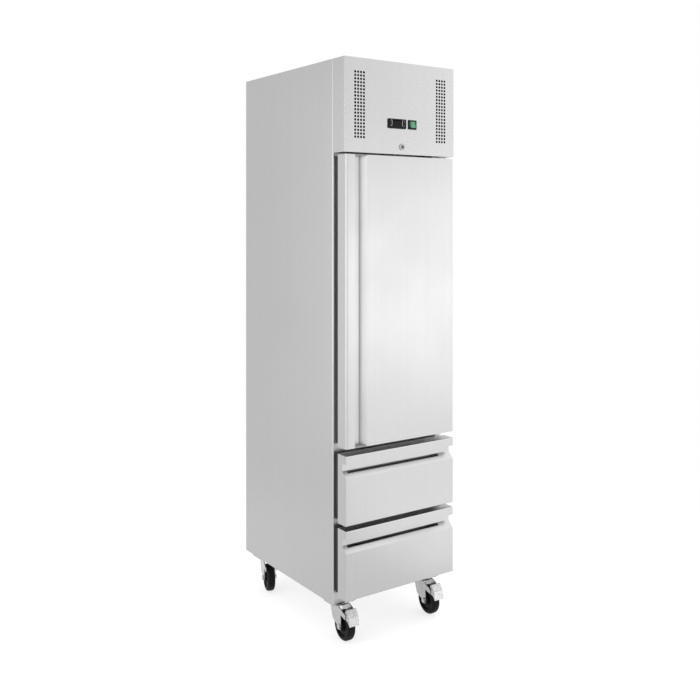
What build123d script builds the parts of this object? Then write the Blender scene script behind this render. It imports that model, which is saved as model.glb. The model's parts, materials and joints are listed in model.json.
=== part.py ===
from build123d import *
import os
from math import cos, radians, sin

# Slim upright refrigerator on castors: one door above two drawers, machinery behind the head panel.
# Millimetres. +X to the hinge side, the front faces -Y, +Z up, origin on the floor under the middle.

# Cabinet body
cabinet_width = 480.0
body_depth = 620.0
castor_height = 132.0
side_sheet = 1.0
plate_sheet = 1.5
liner_sheet = 1.0
flange_width = 13.0
front_corner_radius = 5.0
rear_corner_radius = 2.0
side_wall = 55.0
rear_wall = 62.0
ceiling_wall = 64.0
rear_slot = (8.0, 120.0)
rear_slots = 10
rear_slot_pitch = 22.0
rear_slots_inset = 149.0
top_slot = (220.0, 8.0)
top_slots = 8
top_slot_pitch = 24.0
top_slots_y = 320.0

# Heights of the front, from the bottom of the body up
sill_gap = 32.0
drawer_height = 234.0
drawer_gap = 16.0
door_drawer_gap = 23.0
door_height = 985.0
head_gap = 7.0
head_height = 319.0

# Door and drawer fronts
front_depth = 72.0
side_inset = 6.0
shell_depth = 50.0
front_sheet = 1.0
rim_depth = 8.0
rim_inset = 8.0
rim_corner = 6.0
dish_margin = 6.0
dish_depth = 6.0
dish_corner = 12.0
gasket_width = 20.0
gasket_clearance = 0.3
gasket_lip = 2.0
seal_margin = 4.0
rail_depth = 50.0

# Grip groove of the door, from its left edge
strip_width = 36.0
strip_radius = 8.0
strip_thickness = 9.0
groove_depth = 23.0
groove_floor_width = 31.0
groove_undercut = 14.0
door_bevel_width = 19.0
door_edge_radius = 2.0
cap_thickness = 4.0

# Grip ledge of a drawer, from its top edge
lip_height = 28.0
lip_radius = 3.0
ledge_depth = 23.0
slot_top = 53.0
slot_height = 8.5
drawer_bevel_height = 22.5
slot_ends = (17.0, 55.0)
pocket_depth = 18.0
pocket_reach = 88.0
pocket_wall = 4.0
bottom_radius = 3.0

# Head panel
head_depth = 70.0
head_sheet = 1.0
head_edge_radius = 1.5
head_flange = 16.0
grille_hole = 8.5
grille_pitch_x = 12.0
grille_pitch_z = 11.5
grille_columns = 4
grille_rows = 20
grille_edge = 44.0
grille_bottom = 52.0
lock_slot = (-12.0, 40.0)
lock_slot_width = 6.0

# Controller, switch and lock on the head panel
controller_width = 80.0
controller_height = 34.0
controller_face = 3.0
controller_corner = 5.0
controller_body = (71.0, 28.6, 52.0)
cutout_clearance = 0.3
controller_x = -20.0
controls_height = 105.5
window_size = (40.0, 20.0)
window_depth = 0.8
button_radius = 2.8
button_clearance = 0.1
button_places = {
    "set_button": (-30.0, 8.0),
    "light_button": (-30.0, -8.0),
    "up_button": (31.0, 8.0),
    "down_button": (31.0, -8.0),
}
button_pocket = 2.8
button_stand = 0.8
button_seat = 0.2
button_travel = 0.8
switch_x = 47.5
switch_width = 36.0
switch_height = 33.0
switch_face = 3.0
switch_body = (27.5, 25.5, 24.0)
rocker_width = 24.0
rocker_height = 21.6
rocker_side_gap = 0.4
rocker_end_gap = 0.85
rocker_pivot_depth = 3.0
rocker_lift = 1.3
rocker_crease = 0.2
rocker_root = (5.0, 6.0)
rocker_swing = 17.0
rocker_stub_radius = 1.5
lock_x = 3.0
lock_height = 26.0
lock_flange_radius = 12.0
lock_flange = 3.0
lock_barrel_radius = 9.0
lock_barrel_length = 21.0
lock_plug_radius = 6.0
lock_nut_radius = 12.5
lock_nut = 4.0
lock_clearance = 0.05
cam_length = 40.0
cam_width = 13.0
cam_thickness = 2.5
cam_gap = 0.4
cam_corner = 4.0
cam_pocket = (10.0, 8.0)
key_slot = (1.6, 7.0, 2.0)

# Hinges of the door
pin_radius = 4.0
pin_length = 12.0
pin_clearance = 0.05
pin_end_gap = 1.0
bush_wall = 2.0
pin_inset_y = 36.0
bracket_thickness = 4.0
bracket_gap = 0.5
bracket_width = 14.0
bracket_foot = (60.0, 21.0, 3.0)

# Drawer boxes and telescopic slides
slide_width = 13.0
slide_height = 45.0
slide_sheet = 1.5
slide_gap = 0.4
slide_flange = 7.0
slide_length = 500.0
slide_front_gap = 6.0
box_length = 520.0
box_height = 150.0
box_sheet = 1.2
box_floor_gap = 8.0
box_rim = 6.0
drawer_travel = 460.0

# Shelves
shelf_rods = 14
shelf_bars = 2
shelf_rod_radius = 2.0
shelf_rod_lift = 3.0
shelf_frame_radius = 3.0
shelf_side_gap = 8.0
shelf_front_gap = 35.0
shelf_back_gap = 50.0
shelf_corner = 14.0
shelf_first = 20.0
shelf_spacing = 260.0
shelf_count = 3
upright_width = 20.0
upright_sheet = 1.5
upright_slot = (4.0, 14.0)
upright_slot_pitch = 40.0
upright_inset = 70.0
upright_end_gap = 20.0
clip_thickness = 2.0
clip_reach = 15.0
clip_width = 12.0
clip_leg = 12.0

# Refrigeration unit
deck_sheet = 1.5
condenser_size = (290.0, 60.0, 230.0)
condenser_front_gap = 30.0
tube_rows = 7
coil_tube_radius = 4.5
shroud_sheet = 1.5
shroud_depth = 36.0
fan_radius = 95.0
fan_hub = (22.0, 24.0)
hub_corner = 3.0
motor_gap = 4.0
fan_blades = 5
fan_clearance = 8.0
blade_thickness = 1.5
blade_width = 62.0
blade_pitch = 27.0
motor_radius = 36.0
motor_length = 62.0
motor_corner = 3.0
motor_shaft_radius = 3.0
shaft_clearance = 0.05
motor_arm = (9.0, 3.0)
compressor_radius = 72.0
compressor_height = 165.0
compressor_dome = 26.0
compressor_place = (169.0, 335.0)
compressor_seam = (100.0, 3.0, 4.0)
terminal_cover = (22.0, 60.0, 70.0)
terminal_rise = 30.0
foot_height = 16.0
foot_radius = 11.0
foot_inset = 14.0
compressor_plate = (190.0, 130.0, 3.0)
compressor_plate_corner = 12.0
electrical_size = (110.0, 74.0, 120.0)
electrical_side_gap = 34.0
electrical_rise = 40.0
box_cover_sheet = 2.0
gland_reach = 9.0
gland_radius = 10.0
gland_bore = 4.2
gland_inside = 14.0
gland_nut_radius = 13.0
compressor_stubs = (38.0, -20.0)
pipe_radius = 4.0
suction_radius = 5.0
pipe_bend = 9.0
pipe_rise = 24.0
pipe_side_gap = 30.0
pipe_offset = 6.5
pipe_port = (129.0, 80.0)
port_radius = 14.0
drier_place = 80.0
drier_radius = 10.0
drier_length = 90.0

# Evaporator under the ceiling of the chamber
evaporator_size = (150.0, 56.0)
evaporator_side_gap = 25.0
cover_size = (330.0, 84.0)
cover_side_gap = 20.0
cover_sheet = 1.5
cover_back_gap = 20.0
cover_corner = 18.0
evaporator_rows = 2
evaporator_pairs = 3
evaporator_back_gap = 15.0
evaporator_fan_radius = 62.0
evaporator_fan_y = 85.0
evaporator_fan_rise = 14.0
evaporator_hub = (18.0, 16.0)
evaporator_motor_radius = 26.0
evaporator_motor_length = 34.0
evaporator_blade_width = 42.0
cover_slot = (150.0, 6.0)
cover_slots = 5
cover_slot_pitch = 18.0
cover_slots_y = 220.0
hanger = (80.0, 24.0, 2.0)
hanger_post = 16.0

# Castors
wheel_radius = 50.0
wheel_width = 30.0
wheel_shoulder = 9.0
wheel_dish = (36.0, 5.0)
wheel_boss_radius = 18.0
wheel_hub_radius = 14.0
hub_gap = 0.4
axle_radius = 6.0
wheel_bore_clearance = 0.05
castor_spacer = (9.0, 5.0)
castor_plate = (96.0, 70.0, 3.5)
castor_plate_corner = 10.0
castor_bolt_spacing = (70.0, 44.0)
castor_inset_x = 54.0
front_castor_y = 38.0
rear_castor_y = 75.0
castor_trail = 35.0
raceway_radius = 27.0
raceway_depth = 5.5
king_pin_radius = 6.0
king_pin_head = (10.0, 4.0)
fork_sheet = 3.0
fork_gap = 0.3
fork_width = 40.0
crown_radius = 28.0
crown_reach = (24.0, 20.0)
boss_radius = 11.0
axle_head_radius = 8.5
axle_head = 5.0
ear_reach = 66.0
ear_height = 94.0
pedal_width = 38.0
pedal_sheet = 2.5
pedal_crease = 1.2
pedal_pin_radius = 3.0
pedal_pin_clearance = 0.05
front_castor_turn = 3.0
rear_castor_turn = 17.0
bolt_radius = 4.0
bolt_clearance = 0.3
bolt_head_radius = 6.5
bolt_head = 5.0
bolt_length = 20.0
nut_room = 2.0

# Places worked out from the sizes above
half_width = cabinet_width / 2
rocker_tilt = radians(rocker_swing / 2)
rocker_tip = (rocker_pivot_depth + rocker_lift) * cos(rocker_tilt) + rocker_height / 2 * sin(rocker_tilt)
front_reach = head_depth + switch_face + rocker_tip - rocker_pivot_depth
total_depth = front_reach + body_depth + gland_reach
y_frame = front_reach - total_depth / 2
y_back = y_frame + body_depth
y_front = y_frame - front_depth
y_shell = y_front + shell_depth
y_rim = y_shell + rim_depth
y_head = y_frame - head_depth
y_frame_back = y_frame + side_sheet + plate_sheet
z_body = castor_height
z_drawers = (z_body + sill_gap + drawer_height + drawer_gap, z_body + sill_gap)
z_door = z_drawers[0] + drawer_height + door_drawer_gap
z_head = z_door + door_height + head_gap
z_top = z_head + head_height
front_width = cabinet_width - 2 * side_inset
x_front = front_width / 2
x_rim = x_front - rim_inset
seat = rim_inset + gasket_width + seal_margin
x_chamber = half_width - side_wall
z_floor = z_drawers[1] + seat
z_ceiling = z_door + door_height - seat
z_deck = z_ceiling + ceiling_wall
y_chamber_back = y_back - rear_wall
y_rear_sheet = y_back - side_sheet - plate_sheet
x_sheet = half_width - side_sheet
electrical_x = electrical_side_gap + electrical_size[0] / 2 - x_sheet
cover_width = 2 * (x_chamber - cover_side_gap)
z_base_top = z_body + plate_sheet
z_deck_top = z_deck + deck_sheet
z_controls = z_head + controls_height
z_lock = z_head + lock_height
x_pin = x_rim
y_pin = y_front + pin_inset_y


def block(x0, x1, y0, y1, z0, z1):
    """Box between two opposite corners."""
    middle = Pos((x0 + x1) / 2, (y0 + y1) / 2, (z0 + z1) / 2)
    return middle * Box(abs(x1 - x0), abs(y1 - y0), abs(z1 - z0))


def rod_x(radius, x0, x1, y, z):
    """Round bar along X."""
    return Pos((x0 + x1) / 2, y, z) * Rot(0, 90, 0) * Cylinder(radius, abs(x1 - x0))


def rod_y(radius, x, y0, y1, z):
    """Round bar along Y."""
    return Pos(x, (y0 + y1) / 2, z) * Rot(90, 0, 0) * Cylinder(radius, abs(y1 - y0))


def rod_z(radius, x, y, z0, z1):
    """Round bar along Z."""
    return Pos(x, y, (z0 + z1) / 2) * Cylinder(radius, abs(z1 - z0))


def hex_y(radius, x, y0, y1, z):
    """Hexagonal bar along Y."""
    return Pos(x, y0, z) * Rot(-90, 0, 0) * extrude(RegularPolygon(radius, 6), y1 - y0)


def hex_z(radius, x, y, z0, z1):
    """Hexagonal bar along Z."""
    return Pos(x, y, z0) * extrude(RegularPolygon(radius, 6), z1 - z0)


def slab_y(x, z, width, height, y0, y1):
    """Block about a middle X and Z, between two Y."""
    return block(x - width / 2, x + width / 2, y0, y1, z - height / 2, z + height / 2)


def outline(points, grow=0.0):
    """Flat face inside a closed run of straight lines, made larger all round by grow."""
    face = make_face(Polyline(*points, close=True))
    return offset(face, grow, kind=Kind.INTERSECTION) if grow else face


def prism_x(face, x0, x1):
    """Solid of a side outline drawn in Y and Z, between two X."""
    return extrude(Plane.YZ.offset(x0) * face, x1 - x0)


def prism_z(face, z0, z1):
    """Solid of a plan outline drawn in X and Y, between two Z."""
    return extrude(Plane.XY.offset(z0) * face, z1 - z0)


def edges_near(shape, axis, *points):
    """For each point, the edge along the axis that lies nearest to it."""
    lines = shape.edges().filter_by(axis)
    return [lines.sort_by_distance(Vector(*point))[0] for point in points]


def frame_ring(x_outer, z0, z1, width, y0, y1):
    """Rectangular ring, symmetric about X = 0, that lies in the plane of the front."""
    hole = block(-x_outer + width, x_outer - width, y0 - 1, y1 + 1, z0 + width, z1 - width)
    return block(-x_outer, x_outer, y0, y1, z0, z1) - hole


def group(*shapes):
    """Separate solids that share one node."""
    return Compound(children=[solid for shape in shapes for solid in shape.solids()])


def tube(points, bend, radius):
    """Round tube along straight runs joined by arcs."""
    path = FilletPolyline(*points, radius=bend)
    return sweep(Plane(origin=path @ 0, z_dir=path % 0) * Circle(radius), path)


# Cabinet body


def side_panel():
    """Left side sheet, with flanges folded inwards at the front, the back and the top."""
    x0, x1 = -half_width, -half_width + flange_width
    outer = block(x0, x1, y_frame, y_back, z_body, z_top)
    outer = fillet(edges_near(outer, Axis.Z, (x0, y_frame, z_body)), front_corner_radius)
    outer = fillet(edges_near(outer, Axis.Z, (x0, y_back, z_body)), rear_corner_radius)
    inner = block(
        x0 + side_sheet, x1 + 1, y_frame + side_sheet, y_back - side_sheet, z_body - 1, z_top - side_sheet
    )
    corner = edges_near(inner, Axis.Z, (x0, y_frame, z_body))
    inner = fillet(corner, front_corner_radius - side_sheet)
    return outer - inner


def back_panel():
    """Back sheet inside the rear flanges, with air slots behind the machinery and the gland hole."""
    sheet = block(-x_sheet, x_sheet, y_rear_sheet, y_back - side_sheet, z_body, z_top - side_sheet)
    width, height = rear_slot
    z = (z_deck_top + z_top) / 2
    first = x_sheet - rear_slots_inset - (rear_slots - 1) * rear_slot_pitch / 2
    for i in range(rear_slots):
        sheet -= slab_y(first + i * rear_slot_pitch, z, width, height, y_rear_sheet - 1, y_back)
    return sheet - rod_y(gland_radius + cutout_clearance, electrical_x, y_rear_sheet - 1, y_back, gland_z())


def gland_z():
    """Height of the cord gland."""
    return z_deck_top + electrical_rise + electrical_size[2] / 2


def inner_sheet(z0, z1):
    """Level sheet between the side panels, its front corners rounded to fit inside theirs."""
    sheet = block(-x_sheet, x_sheet, y_frame + side_sheet, y_rear_sheet, z0, z1)
    corners = edges_near(sheet, Axis.Z, *[(side * x_sheet, y_frame, z0) for side in (-1, 1)])
    return fillet(corners, front_corner_radius - side_sheet)


def top_cover():
    """Sheet under the top flanges, with air slots over the machinery."""
    z1 = z_top - side_sheet
    sheet = inner_sheet(z1 - plate_sheet, z1)
    width, depth = top_slot
    for i in range(top_slots):
        y = y_frame + top_slots_y + i * top_slot_pitch
        sheet -= block(-width / 2, width / 2, y, y + depth, z1 - plate_sheet - 1, z1 + 1)
    return sheet


def base_panel():
    """Bottom sheet between the sides, drilled for the castor bolts."""
    holes = castor_bolt_rods(bolt_radius + bolt_clearance, z_body - 1, z_base_top + 1)
    return inner_sheet(z_body, z_base_top) - holes


def insulation():
    """Foam slabs of the five walls, face to face with the sheets on both sides."""
    x_liner = x_chamber + liner_sheet
    y0, y1 = y_frame_back, y_rear_sheet
    y_inner = y_chamber_back + liner_sheet
    z0, z1 = z_base_top, z_deck
    sides = []
    for side in (-1, 1):
        slab = block(side * x_liner, side * x_sheet, y0, y1, z0, z1)
        sides.append(chamfer(edges_near(slab, Axis.Z, (side * x_sheet, y0, z0)), front_corner_radius / 2))
    rear = block(-x_liner, x_liner, y_inner, y1, z0, z1)
    top = block(-x_liner, x_liner, y0, y_inner, z_ceiling + liner_sheet, z1)
    top -= rod_z(port_radius, *port_place(), z_ceiling, z1 + 1)
    bottom = block(-x_liner, x_liner, y0, y_inner, z0, z_floor - liner_sheet)
    nuts = castor_bolt_rods(bolt_head_radius + nut_room, z0 - 1, z0 + bolt_length)
    return group(top, *[slab - nuts for slab in (*sides, rear, bottom)])


def port_place():
    """Where the refrigerant pipes pass through the ceiling of the chamber."""
    return x_sheet - pipe_port[0], y_chamber_back - pipe_port[1]


def inner_liner():
    """Seamless box of the chamber, open at the front."""
    t = liner_sheet
    outer = block(-x_chamber - t, x_chamber + t, y_frame_back, y_chamber_back + t, z_floor - t, z_ceiling + t)
    inner = block(-x_chamber, x_chamber, y_frame_back - 1, y_chamber_back, z_floor, z_ceiling)
    return outer - inner - rod_z(port_radius, *port_place(), z_ceiling - 1, z_ceiling + t + 1)


def front_openings():
    """Lower and upper edge of each opening of the face frame, top one first."""
    upper = z_drawers[0] + seat, z_drawers[0] + drawer_height - seat
    lower = z_drawers[1] + seat, z_drawers[1] + drawer_height - seat
    return [(z_door + seat, z_ceiling), upper, lower]


def front_frame():
    """Face frame round the three openings, with two box-shaped rails between them."""
    y0 = y_frame + side_sheet
    x = half_width - front_corner_radius
    plate = block(-x, x, y0, y_frame_back, z_base_top, z_deck)
    openings = front_openings()
    for z0, z1 in openings:
        plate -= block(-x_chamber, x_chamber, y0 - 1, y_frame_back + 1, z0, z1)
    for above, below in zip(openings, openings[1:]):
        rail = block(-x_chamber, x_chamber, y0, y0 + rail_depth, below[1], above[0])
        z0, z1 = below[1] + plate_sheet, above[0] - plate_sheet
        hollow = block(-x_chamber - 1, x_chamber + 1, y_frame_back, y0 + rail_depth - plate_sheet, z0, z1)
        plate += rail - hollow
    return plate


def machine_deck():
    """Sheet that closes the insulation on top and carries the refrigeration unit."""
    return inner_sheet(z_deck, z_deck_top) - rod_z(port_radius, *port_place(), z_deck - 1, z_deck_top + 1)


# Head panel and what is fixed in it


def grille_holes():
    """Round air holes of both grilles, as one plan outline in X and Z."""
    left = [-half_width + grille_edge + i * grille_pitch_x for i in range(grille_columns)]
    rows = [z_head + grille_bottom + i * grille_pitch_z for i in range(grille_rows)]
    places = [(side * x, z) for side in (1, -1) for x in left for z in rows]
    return [Pos(x, z) * Circle(grille_hole / 2) for x, z in places]


def head_panel():
    """Pan-shaped cover with the grilles, the cut-outs of the controls and the slot for the lock's cam."""
    t = head_sheet
    outer = block(-half_width, half_width, y_head, y_frame, z_head, z_top)
    front = [(side * half_width, y_head, z_head) for side in (-1, 1)]
    outer = fillet(edges_near(outer, Axis.Z, *front), head_edge_radius)
    inner = block(-half_width + t, half_width - t, y_head + t, y_frame + 1, z_head + t, z_top - t)
    inner = fillet(edges_near(inner, Axis.Z, *front), head_edge_radius - t)
    pan = outer - inner
    for side in (-1, 1):
        x = side * (half_width - t)
        pan += block(x, x - side * head_flange, y_frame - t, y_frame, z_head + t, z_top - t)
    pan -= extrude(Plane.XZ.offset(1 - y_head) * (Sketch() + grille_holes()), -(t + 2))
    pan -= cutout(controller_x, controller_body[:2])
    pan -= cutout(switch_x, switch_body[:2])
    pan -= rod_y(lock_barrel_radius, lock_x, y_head - 1, y_head + t + 1, z_lock)
    pan -= cam_slot(lock_slot_width, z_head - 1, z_head + t + 1)
    pan -= hinge_foot_block(z_head - 1, z_head + t + 1, cutout_clearance)
    return pan


def cutout(x, size):
    """Rectangular cut-out in the front of the head panel."""
    return slab_y(x, z_controls, *size, y_head - 1, y_head + head_sheet + 1)


def cam_slot(width, z0, z1):
    """Slot that the lock's cam swings down through."""
    y = cam_front() + cam_thickness / 2
    return block(lock_x + lock_slot[0], lock_x + lock_slot[1], y - width / 2, y + width / 2, z0, z1)


def panel_fitting(x, width, height, depth, body):
    """Rectangular fitting in the head panel: a face in front of it and a body through its cut-out."""
    face = slab_y(x, z_controls, width, height, y_head - depth, y_head)
    body_width, body_height, body_length = body
    body_width, body_height = body_width - 2 * cutout_clearance, body_height - 2 * cutout_clearance
    return face, slab_y(x, z_controls, body_width, body_height, y_head, y_head + body_length)


def rounded_face(face, corner, edge):
    """Face of a fitting with rounded corners and a softened front edge."""
    face = fillet(face.edges().filter_by(Axis.Y), corner)
    return fillet(face.faces().sort_by(Axis.Y)[0].edges(), edge)


def controller():
    """Controller housing: rounded face with a sunk display window, and the body behind the panel."""
    y0 = y_head - controller_face
    face, body = panel_fitting(
        controller_x, controller_width, controller_height, controller_face, controller_body
    )
    housing = rounded_face(face, controller_corner, 1.0) + body
    housing -= slab_y(controller_x, z_controls, *window_size, y0 - 1, y0 + window_depth)
    for dx, dz in button_places.values():
        x, z = controller_x + dx, z_controls + dz
        housing -= rod_y(button_radius + button_clearance, x, y0 - 1, y0 + button_pocket, z)
    return housing


def button(dx, dz):
    """Round key cap that slides into the controller's face."""
    y0 = y_head - controller_face
    y1 = y0 + button_pocket - button_travel - button_seat
    key = rod_y(button_radius, controller_x + dx, y0 - button_stand, y1, z_controls + dz)
    return fillet(key.edges().filter_by(GeomType.CIRCLE).sort_by(Axis.Y)[0], 0.5)


def switch_housing():
    """Black snap-in housing of the rocker switch."""
    y0 = y_head - switch_face
    face, body = panel_fitting(switch_x, switch_width, switch_height, switch_face, switch_body)
    width, height = rocker_width + 2 * rocker_side_gap, rocker_height + 2 * rocker_end_gap
    y1 = y0 + rocker_pivot_depth + rocker_height / 2
    return rounded_face(face, 1.5, 0.8) + body - slab_y(switch_x, z_controls, width, height, y0 - 1, y1)


def switch_rocker():
    """Rocker with its upper end pressed in, a shallow V seen from the side, on two pivot stubs."""
    half = rocker_height / 2
    front = rocker_pivot_depth + rocker_lift
    root_y, root_z = rocker_root
    points = [
        (-front, half),
        (-rocker_pivot_depth - rocker_crease, 0),
        (-front, -half),
        (0, -half),
        (root_y, -root_z),
        (root_y, root_z),
        (0, half),
    ]
    body = prism_x(outline(points), -rocker_width / 2, rocker_width / 2)
    stub = rocker_width / 2 + rocker_side_gap - 0.05
    rocker = body + rod_x(rocker_stub_radius, -stub, stub, 0, 0)
    pivot = Pos(switch_x, y_head - switch_face + rocker_pivot_depth, z_controls)
    return pivot * Rot(-rocker_swing / 2, 0, 0) * rocker


def lock_housing():
    """Lock barrel with its flange in front of the panel and its nut behind it."""
    y0 = y_head - lock_flange
    flange = rod_y(lock_flange_radius, lock_x, y0, y_head, z_lock)
    flange = fillet(flange.edges().filter_by(GeomType.CIRCLE).sort_by(Axis.Y)[0], 1.5)
    barrel = rod_y(lock_barrel_radius - 0.05, lock_x, y_head, y_head + lock_barrel_length, z_lock)
    y1 = y_head + head_sheet
    nut = hex_y(lock_nut_radius, lock_x, y1, y1 + lock_nut, z_lock)
    bore = rod_y(lock_plug_radius + lock_clearance, lock_x, y0 - 1, y_head + lock_barrel_length + 1, z_lock)
    return flange + barrel + nut - bore


def cam_front():
    """Y of the front face of the lock's cam."""
    return y_head + lock_barrel_length + cam_gap


def lock_plug():
    """Turning plug with its key slot, and the cam on its rear end; the cam points to +X when unlocked."""
    y0 = y_head - lock_flange
    y1 = cam_front() + cam_thickness
    plug = rod_y(lock_plug_radius, lock_x, y0 - 0.5, y1 + 2, z_lock)
    width, height, depth = key_slot
    plug -= slab_y(lock_x, z_lock, width, height, y0 - 2, y0 - 0.5 + depth)
    half = cam_width / 2
    cam = block(lock_x - half, lock_x + cam_length, cam_front(), y1, z_lock - half, z_lock + half)
    cam = fillet(cam.edges().filter_by(Axis.Y), cam_corner)
    return plug + cam


# Door


def door_outline(inset):
    """Plan outline of the closed door, drawn in by the sheet's thickness for its inside."""
    x0, x1 = -x_front + inset, x_front - inset
    y0 = y_front + inset
    body = make_face(Polyline((x0, y_shell), (x0, y0), (x1, y0), (x1, y_shell), close=True))
    body = fillet(body.vertices().sort_by_distance(Vector(x0, y0, 0))[0], strip_radius - inset)
    return fillet(body.vertices().sort_by_distance(Vector(x1, y0, 0))[0], door_edge_radius - inset)


def door_plan(inset):
    """Plan outline of the door with its grip groove."""
    return door_outline(inset) - outline(groove_points(), inset)


def groove_points():
    """Plan outline of the grip groove: mouth, undercut behind the strip, floor and bevel."""
    strip = -x_front + strip_width
    floor_end = strip + groove_floor_width
    y_floor = y_front + groove_depth
    return [
        (strip, y_front - 5),
        (strip, y_front + strip_thickness),
        (strip - groove_undercut, y_front + strip_thickness),
        (strip - groove_undercut, y_floor),
        (floor_end, y_floor),
        (floor_end + door_bevel_width, y_front),
        (floor_end + door_bevel_width, y_front - 5),
    ]


def door_ends():
    """Height of the lower and the upper end of the door, each with the direction out of it."""
    return (z_door, -1), (z_door + door_height, 1)


def end_cap_space(z, out):
    """Space of an end cap, inside the outer sheet of the door."""
    low, high = sorted((z, z - out * cap_thickness))
    return prism_z(door_outline(front_sheet), low, high)


def pin_space(z, out, radius, depth):
    """Round space about a hinge pin, from outside the end of the door inwards."""
    return rod_z(radius, x_pin, y_pin, z + out, z - out * depth)


def door_skin():
    """Folded outer steel of the door, open at the back, its groove stopped by the end caps."""
    skin = prism_z(door_plan(0.0) - door_plan(front_sheet), z_door, z_door + door_height)
    return skin - [end_cap_space(z, out) for z, out in door_ends()]


def door_core():
    """Foam core of the door, between the skin, the end caps and the inner panel."""
    z0, z1 = z_door + cap_thickness, z_door + door_height - cap_thickness
    core = prism_z(door_plan(front_sheet), z0, z1)
    core -= block(-x_front, x_front, y_shell - plate_sheet, y_shell + 1, z0, z1)
    bushes = [pin_space(z, out, pin_radius + bush_wall, bush_depth()) for z, out in door_ends()]
    return core - bushes - cam_slot(cam_pocket[0], z1 - cam_pocket[1], z1 + 1)


def bush_depth():
    """Length of a hinge bush, closed just past the end of the pin."""
    return pin_length + pin_end_gap + bush_wall


def door_end_caps():
    """Moulded caps that close the ends of the door and its groove, each with a hinge bush."""
    caps = []
    for z, out in door_ends():
        bush = rod_z(pin_radius + bush_wall, x_pin, y_pin, z, z - out * bush_depth())
        cap = end_cap_space(z, out) + bush
        cap -= pin_space(z, out, pin_radius + pin_clearance, pin_length + pin_end_gap)
        caps.append(cap)
    caps[1] -= cam_slot(cam_pocket[0], z_door + door_height - cap_thickness - 1, z_door + door_height + 1)
    return group(*caps)


def door_liner():
    """Inner panel of the door: a plate inside the skin with a raised rim and a dished middle."""
    x = x_front - front_sheet
    z0, z1 = z_door + cap_thickness, z_door + door_height - cap_thickness
    plate = block(-x, x, y_shell - plate_sheet, y_shell, z0, z1)
    rim = block(-x_rim, x_rim, y_shell, y_rim, z_door + rim_inset, z_door + door_height - rim_inset)
    rim = fillet(rim.edges().filter_by(Axis.Y), rim_corner)
    margin = gasket_width + dish_margin
    x, z = x_rim - margin, rim_inset + margin
    dish = block(-x, x, y_rim - dish_depth, y_rim + 1, z_door + z, z_door + door_height - z)
    dish = fillet(dish.edges().filter_by(Axis.Y), dish_corner)
    return plate + rim - dish


def gasket(z0, z1):
    """Magnetic gasket: a foot on the rim, a narrower bellows and the magnet bar against the frame."""
    y_face = y_frame + side_sheet - gasket_clearance
    depth = y_face - y_rim
    foot, magnet = 0.25 * depth, 0.4 * depth
    base = frame_ring(x_rim, z0, z1, gasket_width, y_rim, y_rim + foot)
    inset = 2 * gasket_lip
    bellows = frame_ring(
        x_rim - inset, z0 + inset, z1 - inset, gasket_width - 2 * inset, y_rim + foot, y_face - magnet
    )
    inset = gasket_lip / 2
    bar = frame_ring(x_rim - inset, z0 + inset, z1 - inset, gasket_width - 2 * inset, y_face - magnet, y_face)
    return base + bellows + bar


def door_gasket():
    """Gasket of the door."""
    return gasket(z_door + rim_inset, z_door + door_height - rim_inset)


def hinge_foot_block(z0, z1, grow):
    """Space of the hinge bracket's foot on the face frame, cut between two heights."""
    width, _, thickness = bracket_foot
    x1 = x_pin - bracket_width / 2
    y1 = y_frame + side_sheet
    return block(x1 - width - grow, x1 + grow, y1 - thickness - grow, y1, z0, z1)


def door_hinges():
    """Upper and lower hinge bracket: a foot on the face frame, an arm and a pin into the door."""
    return group(*[hinge(z, out) for z, out in door_ends()])


def hinge(z, out):
    """Bracket outside one end of the door; out is +1 for the upper and -1 for the lower one."""
    width, height, _ = bracket_foot
    z0 = z + out * bracket_gap
    z1 = z0 + out * bracket_thickness
    foot = hinge_foot_block(z0, z0 + out * height, 0.0)
    half = bracket_width / 2
    arm = block(x_pin - half - width, x_pin - half, y_pin - half, y_frame + side_sheet, z0, z1)
    tip = block(x_pin - half - 1, x_pin + half, y_pin - half, y_pin + half, z0, z1)
    return foot + arm + tip + rod_z(pin_radius, x_pin, y_pin, z0, z - out * pin_length)


# Drawers


def drawer_side(z0, inset):
    """Side outline of a drawer's steel front, drawn in by the sheet's thickness for its inside."""
    z_low, z_high = z0 + inset, z0 + drawer_height - inset
    y0 = y_front + inset
    body = make_face(Polyline((y_shell, z_low), (y0, z_low), (y0, z_high), (y_shell, z_high), close=True))
    corner = body.vertices().sort_by_distance(Vector(y0, z_high, 0))[0]
    body = fillet(corner, lip_radius - inset)
    corner = body.vertices().sort_by_distance(Vector(y0, z_low, 0))[0]
    body = fillet(corner, bottom_radius - inset)
    return body - outline(ledge_points(z0 + drawer_height), inset)


def ledge_points(z_high):
    """Side outline of the grip ledge: under the lip, the set-back strip, and the bevel."""
    y_strip = y_front + ledge_depth
    z_bevel = z_high - slot_top
    return [
        (y_front - 5, z_high - lip_height),
        (y_strip, z_high - lip_height),
        (y_strip, z_bevel),
        (y_front, z_bevel - drawer_bevel_height),
        (y_front - 5, z_bevel - drawer_bevel_height),
    ]


def finger_pocket(z0, inset):
    """Finger slot at the top of the bevel and the pocket behind it; inset is the sheet's thickness."""
    z_high = z0 + drawer_height
    z_top_of_slot = z_high - slot_top
    z_edge = z_top_of_slot - slot_height
    y_strip = y_front + ledge_depth
    y_edge = y_strip - ledge_depth * slot_height / drawer_bevel_height
    points = [
        (y_strip - 2, z_top_of_slot),
        (y_strip + pocket_depth, z_top_of_slot),
        (y_strip + pocket_depth, z_high - pocket_reach),
        (y_strip + pocket_wall, z_high - pocket_reach),
        (y_strip + pocket_wall, z_edge - pocket_wall),
        (y_edge, z_edge),
        (y_edge - 2, z_edge),
    ]
    left, right = slot_ends
    return prism_x(outline(points, inset), left - x_front - inset, x_front - right + inset)


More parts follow.
